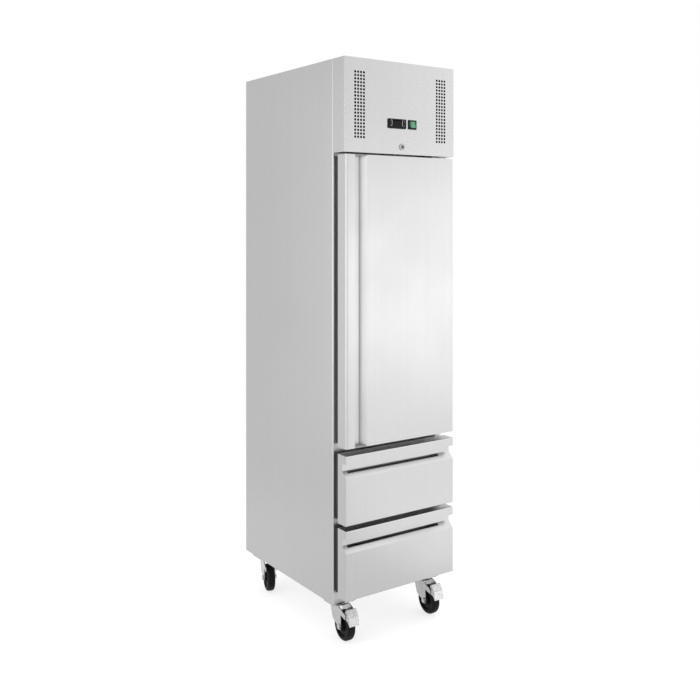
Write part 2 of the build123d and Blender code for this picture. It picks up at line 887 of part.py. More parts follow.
def drawer_skin(z0):
    """Folded outer steel of a drawer front, with the lined finger pocket."""
    x = x_front - front_sheet
    outer = prism_x(drawer_side(z0, 0.0), -x_front, x_front) - finger_pocket(z0, 0.0)
    inner = prism_x(drawer_side(z0, front_sheet), -x, x) - finger_pocket(z0, front_sheet)
    return outer - inner


def drawer_core(z0):
    """Foam core of a drawer front, with the raised inner rim that carries the gasket."""
    x = x_front - front_sheet
    core = prism_x(drawer_side(z0, front_sheet), -x, x) - finger_pocket(z0, front_sheet)
    rim = block(-x_rim, x_rim, y_shell, y_rim, z0 + rim_inset, z0 + drawer_height - rim_inset)
    return core + fillet(rim.edges().filter_by(Axis.Y), rim_corner)


def drawer_gasket(z0):
    """Gasket of a drawer front."""
    return gasket(z0 + rim_inset, z0 + drawer_height - rim_inset)


def drawer_floor(z0):
    """Underside of a drawer's box."""
    return z0 + seat + box_floor_gap


def slide_z(z0):
    """Height of the middle of a drawer's slides."""
    return drawer_floor(z0) + box_height / 2


def drawer_box(z0):
    """Open steel box of a drawer with a rolled rim, and the inner members of its slides."""
    x, t = x_chamber - slide_width, box_sheet
    y0, y1 = y_rim, y_rim + box_length
    low, high = drawer_floor(z0), drawer_floor(z0) + box_height
    box = block(-x, x, y0, y1, low, high) - block(-x + t, x - t, y0 + t, y1 - t, low + t, high + 1)
    rim = block(-x, x, y0, y1, high - t, high)
    x, y0, y1 = x - box_rim, y0 + box_rim, y1 - box_rim
    box += rim - block(-x, x, y0, y1, high - t - 1, high + 1)
    for side in (-1, 1):
        box += slide_member(z0, side, 2)
    return box


def slide_member(z0, side, level):
    """One member of a slide: 0 is fixed to the liner, 1 runs in it, 2 runs in that and holds the box."""
    z = slide_z(z0)
    half = slide_height / 2 - level * (slide_sheet + slide_gap)
    s0 = (0.0, slide_sheet + slide_gap, slide_width - slide_sheet)[level]
    s1 = (slide_flange, slide_width - slide_sheet - slide_gap, slide_width)[level]
    web = (s0, s0 + slide_sheet)
    reach = (s0, s1) if level < 2 else (slide_width - slide_flange, slide_width)
    y0 = y_frame_back + slide_front_gap
    y1 = y0 + slide_length
    if level == 2:
        y0 = y_rim
    x = side * x_chamber
    parts = block(x - side * web[0], x - side * web[1], y0, y1, z - half, z + half)
    for end in (-1, 1):
        z1 = z + end * half
        parts += block(x - side * reach[0], x - side * reach[1], y0, y1, z1 - end * slide_sheet, z1)
    return parts


def middle_members(z0):
    """Left and right middle member of a drawer's slides."""
    return group(*[slide_member(z0, side, 1) for side in (-1, 1)])


def drawer_slide_rails():
    """Fixed members of all four slides."""
    return group(*[slide_member(z0, side, 0) for z0 in z_drawers for side in (-1, 1)])


# Shelves


def shelf_levels():
    """Height of the underside of each shelf's frame, lowest first."""
    first = front_openings()[0][0] + shelf_first
    return [first + i * shelf_spacing for i in range(shelf_count)]


def shelf_span():
    """Front and rear edge of a shelf."""
    return y_frame_back + shelf_front_gap, y_chamber_back - shelf_back_gap


def wire_shelf(z):
    """Welded wire shelf: a round frame, cross bars, and wires from front to back over them."""
    r = shelf_frame_radius
    x = x_chamber - shelf_side_gap - r
    y0, y1 = shelf_span()
    y0, y1 = y0 + r, y1 - r
    middle = Pos(0, (y0 + y1) / 2, z + r)
    loop = middle * RectangleRounded(2 * x, y1 - y0, shelf_corner).wire()
    shelf = sweep(Plane(origin=loop @ 0, z_dir=loop % 0) * Circle(r), loop)
    for i in range(1, shelf_bars + 1):
        shelf += rod_x(shelf_rod_radius, -x, x, y0 + i * (y1 - y0) / (shelf_bars + 1), z + r)
    for i in range(1, shelf_rods + 1):
        x_rod = -x + i * 2 * x / (shelf_rods + 1)
        shelf += rod_y(shelf_rod_radius, x_rod, y0 - 1, y1 + 1, z + r + shelf_rod_lift)
    return shelf


def wire_shelves():
    """The three wire shelves."""
    first = shelf_levels()[0]
    shelf = wire_shelf(first)
    return group(*[Pos(0, 0, z - first) * shelf for z in shelf_levels()])


def upright(side, y):
    """Slotted strip on a side of the liner."""
    x = side * x_chamber
    z0, z1 = front_openings()[0][0], z_ceiling - cover_size[1] - upright_end_gap
    strip = block(x, x - side * upright_sheet, y - upright_width / 2, y + upright_width / 2, z0, z1)
    half_slot, half_height = upright_slot[0] / 2, upright_slot[1] / 2
    x0, x1 = x + side, x - side * (upright_sheet + 1)
    for i in range(int((z1 - z0) / upright_slot_pitch)):
        z = z0 + (i + 0.5) * upright_slot_pitch
        strip -= block(x0, x1, y - half_slot, y + half_slot, z - half_height, z + half_height)
    return strip


def shelf_clip(side, y, z):
    """Angle clip on an upright, with its ledge under the frame of a shelf."""
    x, half, t = side * (x_chamber - upright_sheet), clip_width / 2, clip_thickness
    ledge = block(x, x - side * clip_reach, y - half, y + half, z - t, z)
    return ledge + block(x, x - side * t, y - half, y + half, z - t - clip_leg, z - t)


def shelf_supports():
    """Four slotted uprights on the liner's sides and the clips that the shelves lie on."""
    y0, y1 = shelf_span()
    places = [(side, y) for side in (-1, 1) for y in (y0 + upright_inset, y1 - upright_inset)]
    strips = [upright(side, y) for side, y in places]
    clips = [shelf_clip(side, y, z) for side, y in places for z in shelf_levels()]
    return group(*strips, *clips)


# Refrigeration unit


def coil(size, x, y, z, rows, pairs):
    """Finned block with the return bends of its tube pairs on both sides."""
    width, depth, height = size
    unit = block(x - width / 2, x + width / 2, y, y + depth, z, z + height)
    pitch, reach = depth / pairs, depth / pairs / 4
    for side in (-1, 1):
        x0, x1 = x + side * width / 2, x + side * (width / 2 + reach)
        for row in range(rows):
            for pair in range(pairs):
                yc, zc = y + (pair + 0.5) * pitch, z + (row + 0.5) * height / rows
                path = ThreePointArc((x0, yc - reach, zc), (x1, yc, zc), (x0, yc + reach, zc))
                unit += sweep(Plane(origin=path @ 0, z_dir=path % 0) * Circle(coil_tube_radius), path)
    return unit


def y_condenser():
    """Front of the condenser."""
    return y_frame_back + condenser_front_gap


def condenser_coil():
    """Condenser behind the head panel, standing on the deck."""
    return coil(condenser_size, 0.0, y_condenser(), z_deck_top, tube_rows, 1)


def fan_centre():
    """Middle of the condenser fan in its ring."""
    return y_condenser() + condenser_size[1] + shroud_depth / 2, z_deck_top + condenser_size[2] / 2


def fan_blade(radius, hub, blade_width):
    """Axial fan about Z at the origin, with flat pitched blades and a blind shaft hole from below."""
    hub_radius, hub_length = hub
    wheel = Cylinder(hub_radius, hub_length)
    wheel = fillet(wheel.edges().filter_by(GeomType.CIRCLE).sort_by(Axis.Z)[-1], hub_corner)
    root = hub_radius - hub_corner
    length = radius - root
    blade = Box(length, blade_width, blade_thickness)
    blade = fillet(blade.edges().filter_by(Axis.Z).sort_by(Axis.X)[-2:], 0.3 * min(blade_width, length))
    blade = Pos(root + length / 2, 0, 0) * Rot(blade_pitch, 0, 0) * blade
    for i in range(fan_blades):
        wheel += Rot(0, 0, i * 360 / fan_blades) * blade
    bore = 0.6 * hub_length
    return wheel - Pos(0, 0, (bore - hub_length) / 2) * Cylinder(motor_shaft_radius + shaft_clearance, bore)


def condenser_fan_blade():
    """Fan that draws air through the condenser; its shaft hole opens to the rear."""
    y, z = fan_centre()
    return Pos(0, y, z) * Rot(90, 0, 0) * fan_blade(fan_radius, fan_hub, blade_width)


def condenser_fan_motor():
    """Shroud on the condenser, with the fan ring, the arms and the motor."""
    y_fan, z_fan = fan_centre()
    y0 = y_condenser() + condenser_size[1]
    y1 = y0 + shroud_depth
    width, _, height = condenser_size
    ring, t = fan_radius + fan_clearance, shroud_sheet
    unit = slab_y(0, z_fan, width, height, y0, y1)
    unit -= slab_y(0, z_fan, width - 2 * t, height - 2 * t, y0 - 1, y1 - t)
    unit -= rod_y(ring, 0, y0, y1 + 1, z_fan)
    y_motor = y_fan + fan_hub[1] / 2 + motor_gap
    motor = rod_y(motor_radius, 0, y_motor, y_motor + motor_length, z_fan)
    unit += fillet(motor.edges().filter_by(GeomType.CIRCLE), motor_corner)
    unit += rod_y(motor_shaft_radius, 0, y_fan, y_motor + 1, z_fan)
    arm_width, arm_sheet = motor_arm
    arm = block(motor_radius - 6, ring + 8, y1, y1 + arm_sheet, -arm_width / 2, arm_width / 2)
    for turn in (45, 135, 225, 315):
        unit += Pos(0, 0, z_fan) * Rot(0, turn, 0) * arm
    return unit


def compressor():
    """Sealed compressor: domed pot and terminal cover, on a plate with four rubber feet."""
    x, y, z1 = compressor_top()
    z0 = z1 - compressor_height
    width, depth, thickness = compressor_plate
    plate = block(x - width / 2, x + width / 2, y - depth / 2, y + depth / 2, z0 - thickness, z0)
    unit = fillet(plate.edges().filter_by(Axis.Z), compressor_plate_corner)
    pot = rod_z(compressor_radius, x, y, z0, z1)
    unit += fillet(pot.edges().filter_by(GeomType.CIRCLE), compressor_dome)
    unit += rod_z(0.6 * compressor_radius, x, y, z0 - 1, z0 + 3)
    seam_height, seam, seam_width = compressor_seam
    unit += rod_z(compressor_radius + seam, x, y, z0 + seam_height, z0 + seam_height + seam_width)
    cover_depth, cover_width, cover_height = terminal_cover
    x_cover, z_cover = x - compressor_radius - cover_depth, z0 + terminal_rise
    unit += block(x_cover, x, y - cover_width / 2, y + cover_width / 2, z_cover, z_cover + cover_height)
    for side_x in (-1, 1):
        for side_y in (-1, 1):
            foot_x = x + side_x * (width / 2 - foot_inset)
            foot_y = y + side_y * (depth / 2 - foot_inset)
            unit += rod_z(foot_radius, foot_x, foot_y, z_deck_top, z0 - thickness)
    return unit


def compressor_top():
    """X, Y and Z of the middle of the compressor's top."""
    z = z_deck_top + foot_height + compressor_plate[2] + compressor_height
    return x_sheet - compressor_place[0], y_frame_back + compressor_place[1], z


def refrigerant_pipes():
    """Discharge, liquid and suction line, and the filter drier in the liquid line."""
    x, y, z = compressor_top()
    x_coil, x_side = condenser_size[0] / 2, condenser_size[0] / 2 + pipe_side_gap
    y_coil = y_condenser() + condenser_size[1] / 2
    row = condenser_size[2] / tube_rows
    z_inlet, z_outlet = z_deck_top + condenser_size[2] - row, z_deck_top + row
    port_x, port_y = port_place()
    x_discharge, x_suction = x + compressor_stubs[0], x + compressor_stubs[1]
    z_over = z + pipe_rise
    discharge = [
        (x_discharge, y, z),
        (x_discharge, y, z_over),
        (x_side, y, z_over),
        (x_side, y_coil, z_inlet),
        (x_coil, y_coil, z_inlet),
    ]
    liquid = [
        (x_coil, y_coil, z_outlet),
        (x_side, y_coil, z_outlet),
        (x_side, port_y, z_outlet),
        (port_x + pipe_offset, port_y, z_outlet),
        (port_x + pipe_offset, port_y, z_ceiling),
    ]
    suction = [
        (x_suction, y, z),
        (x_suction, y, z_over),
        (x_suction, port_y, z_over),
        (port_x - pipe_offset, port_y, z_over),
        (port_x - pipe_offset, port_y, z_ceiling),
    ]
    y_drier = y_coil + drier_place
    drier = rod_y(drier_radius, x_side, y_drier, y_drier + drier_length, z_outlet)
    drier = fillet(drier.edges().filter_by(GeomType.CIRCLE), 6.0)
    return group(
        tube(discharge, pipe_bend, pipe_radius),
        tube(liquid, pipe_bend, pipe_radius) + drier,
        tube(suction, pipe_bend, suction_radius),
    )


def electrical_box():
    """Terminal box on the back panel, with the gland for the supply cord."""
    width, depth, height = electrical_size
    t, y1, z = box_cover_sheet, y_rear_sheet, gland_z()
    box = slab_y(electrical_x, z, width, height, y1 - depth, y1)
    box = fillet(box.edges().filter_by(Axis.Y), 4.0)
    box -= slab_y(electrical_x, z, width - 2 * t, height - 2 * t, y1 - depth + t, y1 - t)
    gland = rod_y(gland_radius, electrical_x, y1 - gland_inside, y_back, z)
    nut = hex_y(gland_nut_radius, electrical_x, y_back - side_sheet, y_back + gland_reach, z)
    bore = rod_y(gland_bore, electrical_x, y1 - gland_inside - 1, y_back + gland_reach + 1, z)
    return box + gland + nut - bore


# Evaporator


def y_cover():
    """Front of the evaporator's cover."""
    return y_chamber_back - cover_back_gap - cover_size[0]


def evaporator_coil():
    """Evaporator hung under the ceiling, behind its fan."""
    depth, height = evaporator_size
    size = (cover_width - 2 * evaporator_side_gap, depth, height)
    y = y_cover() + cover_size[0] - evaporator_back_gap - depth
    return coil(size, 0.0, y, z_ceiling - height, evaporator_rows, evaporator_pairs)


def evaporator_fan_place():
    """Y and Z of the middle of the evaporator's fan, which turns about an upright axis."""
    return y_cover() + evaporator_fan_y, z_ceiling - cover_size[1] + evaporator_fan_rise


def cover_shape(inset):
    """Outside of the evaporator's cover, or its inside when drawn in by the sheet's thickness."""
    depth, height = cover_size
    x, y0, z0 = cover_width / 2 - inset, y_cover() + inset, z_ceiling - height + inset
    shape = block(-x, x, y0, y_cover() + depth - inset, z0, z_ceiling + inset)
    return fillet(edges_near(shape, Axis.X, (0, y0, z0)), cover_corner - inset)


def evaporator_cover():
    """Cover round the evaporator, with the fan's opening in front and air slots behind it."""
    cover = cover_shape(0.0) - cover_shape(cover_sheet)
    z0, z1 = z_ceiling - cover_size[1] - 1, z_ceiling - cover_size[1] + cover_sheet + 1
    cover -= rod_z(evaporator_fan_radius + fan_clearance, 0, evaporator_fan_place()[0], z0, z1)
    width, depth = cover_slot
    for i in range(cover_slots):
        y = y_cover() + cover_slots_y + i * cover_slot_pitch
        cover -= block(-width / 2, width / 2, y, y + depth, z0, z1)
    return cover


def evaporator_fan_blade():
    """Fan that blows the cold air down into the chamber; its shaft hole opens upwards."""
    y, z = evaporator_fan_place()
    fan = fan_blade(evaporator_fan_radius, evaporator_hub, evaporator_blade_width)
    return Pos(0, y, z) * Rot(180, 0, 0) * fan


def evaporator_fan_motor():
    """Motor over the evaporator fan, hung from the ceiling on its bracket."""
    y, z_fan = evaporator_fan_place()
    z0 = z_fan + evaporator_hub[1] / 2 + motor_gap
    z1 = z0 + evaporator_motor_length
    motor = rod_z(evaporator_motor_radius, 0, y, z0, z1)
    motor = fillet(motor.edges().filter_by(GeomType.CIRCLE), motor_corner)
    motor += rod_z(motor_shaft_radius, 0, y, z_fan, z0 + 1)
    width, depth, sheet = hanger
    motor += block(-hanger_post / 2, hanger_post / 2, y - depth / 2, y + depth / 2, z1 - 1, z_ceiling)
    return motor + block(-width / 2, width / 2, y - depth / 2, y + depth / 2, z_ceiling - sheet, z_ceiling)


# Castors


def castor_places():
    """Name, X, Y and turn of each castor; X and Y are those of its swivel axis."""
    x = half_width - castor_inset_x
    front, rear = y_frame + front_castor_y, y_back - rear_castor_y
    return [
        ("front_left", -x, front, -front_castor_turn),
        ("front_right", x, front, -front_castor_turn),
        ("rear_left", -x, rear, -rear_castor_turn),
        ("rear_right", x, rear, -rear_castor_turn),
    ]


def castor_bolt_places(centres=None):
    """X and Y of the castor bolts: all sixteen, or the four round each given centre."""
    if centres is None:
        centres = [(x, y) for _, x, y, _ in castor_places()]
    dx, dy = castor_bolt_spacing[0] / 2, castor_bolt_spacing[1] / 2
    corners = [(-dx, -dy), (-dx, dy), (dx, -dy), (dx, dy)]
    return [(x + cx, y + cy) for x, y in centres for cx, cy in corners]


def castor_bolt_rods(radius, z0, z1, centres=None):
    """Round bars on the axes of the castor bolts."""
    return [rod_z(radius, x, y, z0, z1) for x, y in castor_bolt_places(centres)]


def castor_plates():
    """Top plates of the castors, each with its raceway and king pin, and the spacers on its bolts."""
    width, depth, thickness = castor_plate
    spacer_radius, spacer = castor_spacer
    z2 = z_body - spacer
    z1 = z2 - thickness
    plates = []
    for _, x, y, _ in castor_places():
        plate = block(x - width / 2, x + width / 2, y - depth / 2, y + depth / 2, z1, z2)
        plate = fillet(plate.edges().filter_by(Axis.Z), castor_plate_corner)
        race = rod_z(raceway_radius, x, y, z1 - raceway_depth, z1)
        race = fillet(race.edges().filter_by(GeomType.CIRCLE).sort_by(Axis.Z)[0], 2.5)
        head_radius, head = king_pin_head
        z_pin = crown_top() - fork_sheet - fork_gap
        rivet = rod_z(head_radius, x, y, z_pin - head, z_pin)
        plate += castor_bolt_rods(spacer_radius, z2 - 1, z_body, [(x, y)])
        plates.append(plate + race + rod_z(king_pin_radius, x, y, z_pin - 1, z1) + rivet)
    holes = castor_bolt_rods(bolt_radius + bolt_clearance, z1 - 1, z_body + 1)
    return group(*[plate - holes for plate in plates])


def castor_bolts():
    """Bolts up through the castor plates and the base, with their nuts on top."""
    z1 = z_body - castor_spacer[1] - castor_plate[2]
    bolts = []
    for x, y in castor_bolt_places():
        bolt = rod_z(bolt_radius, x, y, z1 - 1, z1 + bolt_length)
        bolt += hex_z(bolt_head_radius, x, y, z1 - bolt_head, z1)
        bolts.append(bolt + hex_z(bolt_head_radius, x, y, z_base_top, z_base_top + bolt_head))
    return group(*bolts)


def crown_top():
    """Height of the top of a castor's fork."""
    return z_body - castor_spacer[1] - castor_plate[2] - raceway_depth - fork_gap


def castor_fork():
    """Fork of a castor about its swivel axis: crown, two legs with ears, and the axle; -Y is forward."""
    z1 = crown_top()
    crown = rod_z(crown_radius, 0, 0, z1 - fork_sheet, z1)
    ahead, behind = crown_reach
    half = fork_width / 2 + fork_sheet
    crown += block(-half, half, -ahead, behind, z1 - fork_sheet, z1)
    crown -= rod_z(king_pin_radius + wheel_bore_clearance, 0, 0, z1 - fork_sheet - 1, z1 + 1)
    y_axle, z_axle = -castor_trail, wheel_radius
    leg_points = [
        (behind, z1),
        (behind, z1 - 22),
        (8, wheel_radius + 14),
        (y_axle + boss_radius, z_axle),
        (y_axle - boss_radius, z_axle),
        (y_axle - boss_radius + 2, z_axle + 42),
        (-ear_reach - 6, ear_height - 8),
        (-ear_reach - 6, ear_height + 7),
        (-ahead - 6, z1),
    ]
    fork = crown
    for side in (-1, 1):
        x0, x1 = side * fork_width / 2, side * half
        leg = prism_x(outline(leg_points), min(x0, x1), max(x0, x1))
        leg += rod_x(boss_radius, x0, x1, y_axle, z_axle)
        fork += leg
    fork -= rod_x(pedal_pin_radius, -half - 1, half + 1, -ear_reach, ear_height)
    fork += rod_x(axle_radius, -half, half, y_axle, z_axle)
    for side in (-1, 1):
        head = rod_x(axle_head_radius, side * half, side * (half + axle_head), y_axle, z_axle)
        fork += fillet(head.edges().filter_by(GeomType.CIRCLE), 1.0)
    return fork


def castor_wheel():
    """Wheel with a rounded tread, a sunk face and a hub that is wider than the tread."""
    half = wheel_width / 2
    wheel = rod_x(wheel_radius, -half, half, 0, 0)
    wheel = fillet(wheel.edges().filter_by(GeomType.CIRCLE), wheel_shoulder)
    dish_radius, depth = wheel_dish
    for side in (-1, 1):
        dish = rod_x(dish_radius, side * (half - depth), side * (half + 1), 0, 0)
        wheel -= dish - rod_x(wheel_boss_radius, side * (half - depth - 1), side * (half + 2), 0, 0)
        wheel += rod_x(wheel_hub_radius, side * (half - 1), side * (fork_width / 2 - hub_gap), 0, 0)
    return wheel - rod_x(axle_radius + wheel_bore_clearance, -fork_width, fork_width, 0, 0)


def brake_pedal():
    """Brake pedal about the swivel axis: folded tread, two cheeks and the pin in the fork's ears."""
    half = pedal_width / 2
    t = pedal_sheet
    tread = [
        (-ear_reach - 7, ear_height + 23.5),
        (-ear_reach - 10, ear_height + 24.5),
        (-ear_reach - 25.5, ear_height + 4 + pedal_crease),
        (-ear_reach - 25.5 + pedal_crease, ear_height + 4),
        (-ear_reach - 25.5, ear_height + 4 - pedal_crease),
        (-ear_reach - 32, ear_height - 25),
        (-ear_reach - 29, ear_height - 26),
        (-ear_reach - 22.5, ear_height + 3),
    ]
    pedal = prism_x(outline(tread), -half, half)
    cheek = [
        (-ear_reach + 6, ear_height - 6),
        (-ear_reach + 6, ear_height + 6),
        (-ear_reach - 7, ear_height + 23.5),
        (-ear_reach - 22.5, ear_height + 3),
        (-ear_reach - 29, ear_height - 26),
        (-ear_reach - 20, ear_height - 14),
    ]
    for side in (-1, 1):
        x0, x1 = side * (half - t), side * half
        pedal += prism_x(outline(cheek), min(x0, x1), max(x0, x1))
    pin = pedal_pin_radius - pedal_pin_clearance
    return pedal + rod_x(pin, -half - fork_sheet - 1, half + fork_sheet + 1, -ear_reach, ear_height)


def castors():
    """Forks, wheels and pedals in their places, by node name."""
    fork, wheel, pedal = castor_fork(), castor_wheel(), brake_pedal()
    nodes = {}
    for name, x, y, turn in castor_places():
        place = Pos(x, y, 0) * Rot(0, 0, turn)
        nodes[f"{name}_fork"] = place * fork
        nodes[f"{name}_wheel"] = place * Pos(0, -castor_trail, wheel_radius) * wheel
        if name.startswith("front"):
            nodes[f"{name}_brake_pedal"] = place * pedal
    return nodes


def drawers():
    """Pieces of both drawers, by node name."""
    nodes = {}
    for number, z0 in enumerate(z_drawers, start=1):
        nodes[f"drawer_{number}_skin"] = drawer_skin(z0)
        nodes[f"drawer_{number}_core"] = drawer_core(z0)
        nodes[f"drawer_{number}_gasket"] = drawer_gasket(z0)
        nodes[f"drawer_{number}_box"] = drawer_box(z0)
        nodes[f"drawer_{number}_slide_middle"] = middle_members(z0)
    return nodes


def assemble():
    """All nodes of the refrigerator, by name."""
    left = side_panel()
    nodes = {
        "left_side_panel": left,
        "right_side_panel": mirror(left, Plane.YZ),
        "back_panel": back_panel(),
        "top_cover": top_cover(),
        "base_panel": base_panel(),
        "insulation": insulation(),
        "inner_liner": inner_liner(),
        "front_frame": front_frame(),
        "machine_deck": machine_deck(),
        "head_panel": head_panel(),
        "controller": controller(),
        "switch_housing": switch_housing(),
        "switch_rocker": switch_rocker(),
        "lock_housing": lock_housing(),
        "lock_plug": lock_plug(),
        "door_skin": door_skin(),
        "door_core": door_core(),
        "door_end_caps": door_end_caps(),
        "door_liner": door_liner(),
        "door_gasket": door_gasket(),
        "door_hinges": door_hinges(),
        "drawer_slide_rails": drawer_slide_rails(),
        "wire_shelves": wire_shelves(),
        "shelf_supports": shelf_supports(),
        "condenser_coil": condenser_coil(),
        "condenser_fan_motor": condenser_fan_motor(),
        "condenser_fan_blade": condenser_fan_blade(),
        "compressor": compressor(),
        "refrigerant_pipes": refrigerant_pipes(),
        "electrical_box": electrical_box(),
        "evaporator_coil": evaporator_coil(),
        "evaporator_cover": evaporator_cover(),
        "evaporator_fan_motor": evaporator_fan_motor(),
        "evaporator_fan_blade": evaporator_fan_blade(),
        "castor_plates": castor_plates(),
        "castor_bolts": castor_bolts(),
    }
    nodes.update({name: button(dx, dz) for name, (dx, dz) in button_places.items()})
    nodes.update(drawers())
    nodes.update(castors())
    return nodes


os.makedirs("parts", exist_ok=True)
for node, shape in assemble().items():
    export_step(shape, f"parts/{node}.step")
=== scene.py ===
"""Looks of the slim upright refrigerator: its finishes, small fittings, floor, light and camera."""

import json
import logging
import math
from dataclasses import dataclass
from enum import Enum
from typing import Iterable

import bmesh
import bpy
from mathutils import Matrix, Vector


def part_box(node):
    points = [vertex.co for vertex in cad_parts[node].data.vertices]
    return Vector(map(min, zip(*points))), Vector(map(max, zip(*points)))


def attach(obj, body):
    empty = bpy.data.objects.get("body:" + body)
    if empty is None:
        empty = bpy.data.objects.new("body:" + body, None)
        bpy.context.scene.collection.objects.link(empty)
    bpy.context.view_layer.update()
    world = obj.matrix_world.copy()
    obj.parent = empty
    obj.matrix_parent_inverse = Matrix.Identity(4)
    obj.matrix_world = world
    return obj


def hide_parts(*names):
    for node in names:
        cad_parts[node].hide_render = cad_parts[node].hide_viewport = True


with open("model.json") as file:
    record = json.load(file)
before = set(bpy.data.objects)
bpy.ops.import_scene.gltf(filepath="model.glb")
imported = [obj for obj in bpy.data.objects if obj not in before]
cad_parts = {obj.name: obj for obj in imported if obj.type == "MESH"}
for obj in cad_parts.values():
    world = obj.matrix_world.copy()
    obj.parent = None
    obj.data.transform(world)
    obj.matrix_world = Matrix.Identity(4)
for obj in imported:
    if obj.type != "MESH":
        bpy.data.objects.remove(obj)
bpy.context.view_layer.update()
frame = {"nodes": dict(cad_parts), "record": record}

Colour = tuple[float, float, float]
Point = tuple[float, float, float]
Span = tuple[float, float]
Outline = list[tuple[float, float]]
Socket = bpy.types.NodeSocket

log = logging.getLogger("refrigerator")


class Grain(Enum):
    """Which way the brushing of a sheet runs, as the noise scale along X, Y and Z, per metre."""

    UPRIGHT = (900.0, 900.0, 7.0)
    TURNED = (420.0, 420.0, 420.0)


# Node trees


class Tree:
    """Short calls for placing and joining the nodes of one tree."""

    def __init__(self, nodes: bpy.types.NodeTree) -> None:
        """Wraps a node tree.

        Args:
            nodes: the tree that the calls add to.
        """
        self.nodes = nodes

    def add(self, kind: str, **settings: object) -> bpy.types.Node:
        """Adds a node and sets its properties and its named inputs.

        Args:
            kind: the node's type, without the words ShaderNode in front.
            settings: properties by their name, and inputs by their name with _ for a space.

        Returns:
            The new node.
        """
        node = self.nodes.nodes.new("ShaderNode" + kind)
        for name, value in settings.items():
            if hasattr(node, name):
                setattr(node, name, value)
            else:
                node.inputs[name.replace("_", " ")].default_value = value
        return node

    def join(self, source: Socket, target: Socket) -> None:
        """Links an output to an input."""
        self.nodes.links.new(source, target)

    def maths(self, operation: str, first: object, second: object = 0.0) -> Socket:
        """Adds a Math node.

        Args:
            operation: the node's operation.
            first: a socket or a number.
            second: a socket or a number.

        Returns:
            The node's output.
        """
        node = self.add("Math", operation=operation)
        for place, value in enumerate((first, second)):
            if isinstance(value, Socket):
                self.join(value, node.inputs[place])
            else:
                node.inputs[place].default_value = value
        return node.outputs[0]

    def ramp(
        self, value: Socket, low: float, high: float, at_low: float = 0.0, at_high: float = 1.0,
    ) -> Socket:
        """Maps a value smoothly from one range to another.

        Args:
            value: the socket to map.
            low: the value where the map starts.
            high: the value where it ends.
            at_low: what comes out at low.
            at_high: what comes out at high.

        Returns:
            The mapped value.
        """
        node = self.add("MapRange", interpolation_type="SMOOTHSTEP")
        self.join(value, node.inputs["Value"])
        for name, number in zip(("From Min", "From Max", "To Min", "To Max"), (low, high, at_low, at_high)):
            node.inputs[name].default_value = number
        return node.outputs["Result"]

    def blend(self, mask: Socket, plain: object, marked: object) -> Socket:
        """Mixes two colours by a mask.

        Args:
            mask: 0 for the plain colour, 1 for the marked one.
            plain: a socket or a colour.
            marked: a socket or a colour.

        Returns:
            The mixed colour.
        """
        node = self.add("Mix", data_type="RGBA")
        self.join(mask, node.inputs["Factor"])
        for name, value in (("A", plain), ("B", marked)):
            target = next(s for s in node.inputs if s.name == name and s.type == "RGBA")
            if isinstance(value, Socket):
                self.join(value, target)
            else:
                target.default_value = (*value, 1.0)
        return next(s for s in node.outputs if s.type == "RGBA")


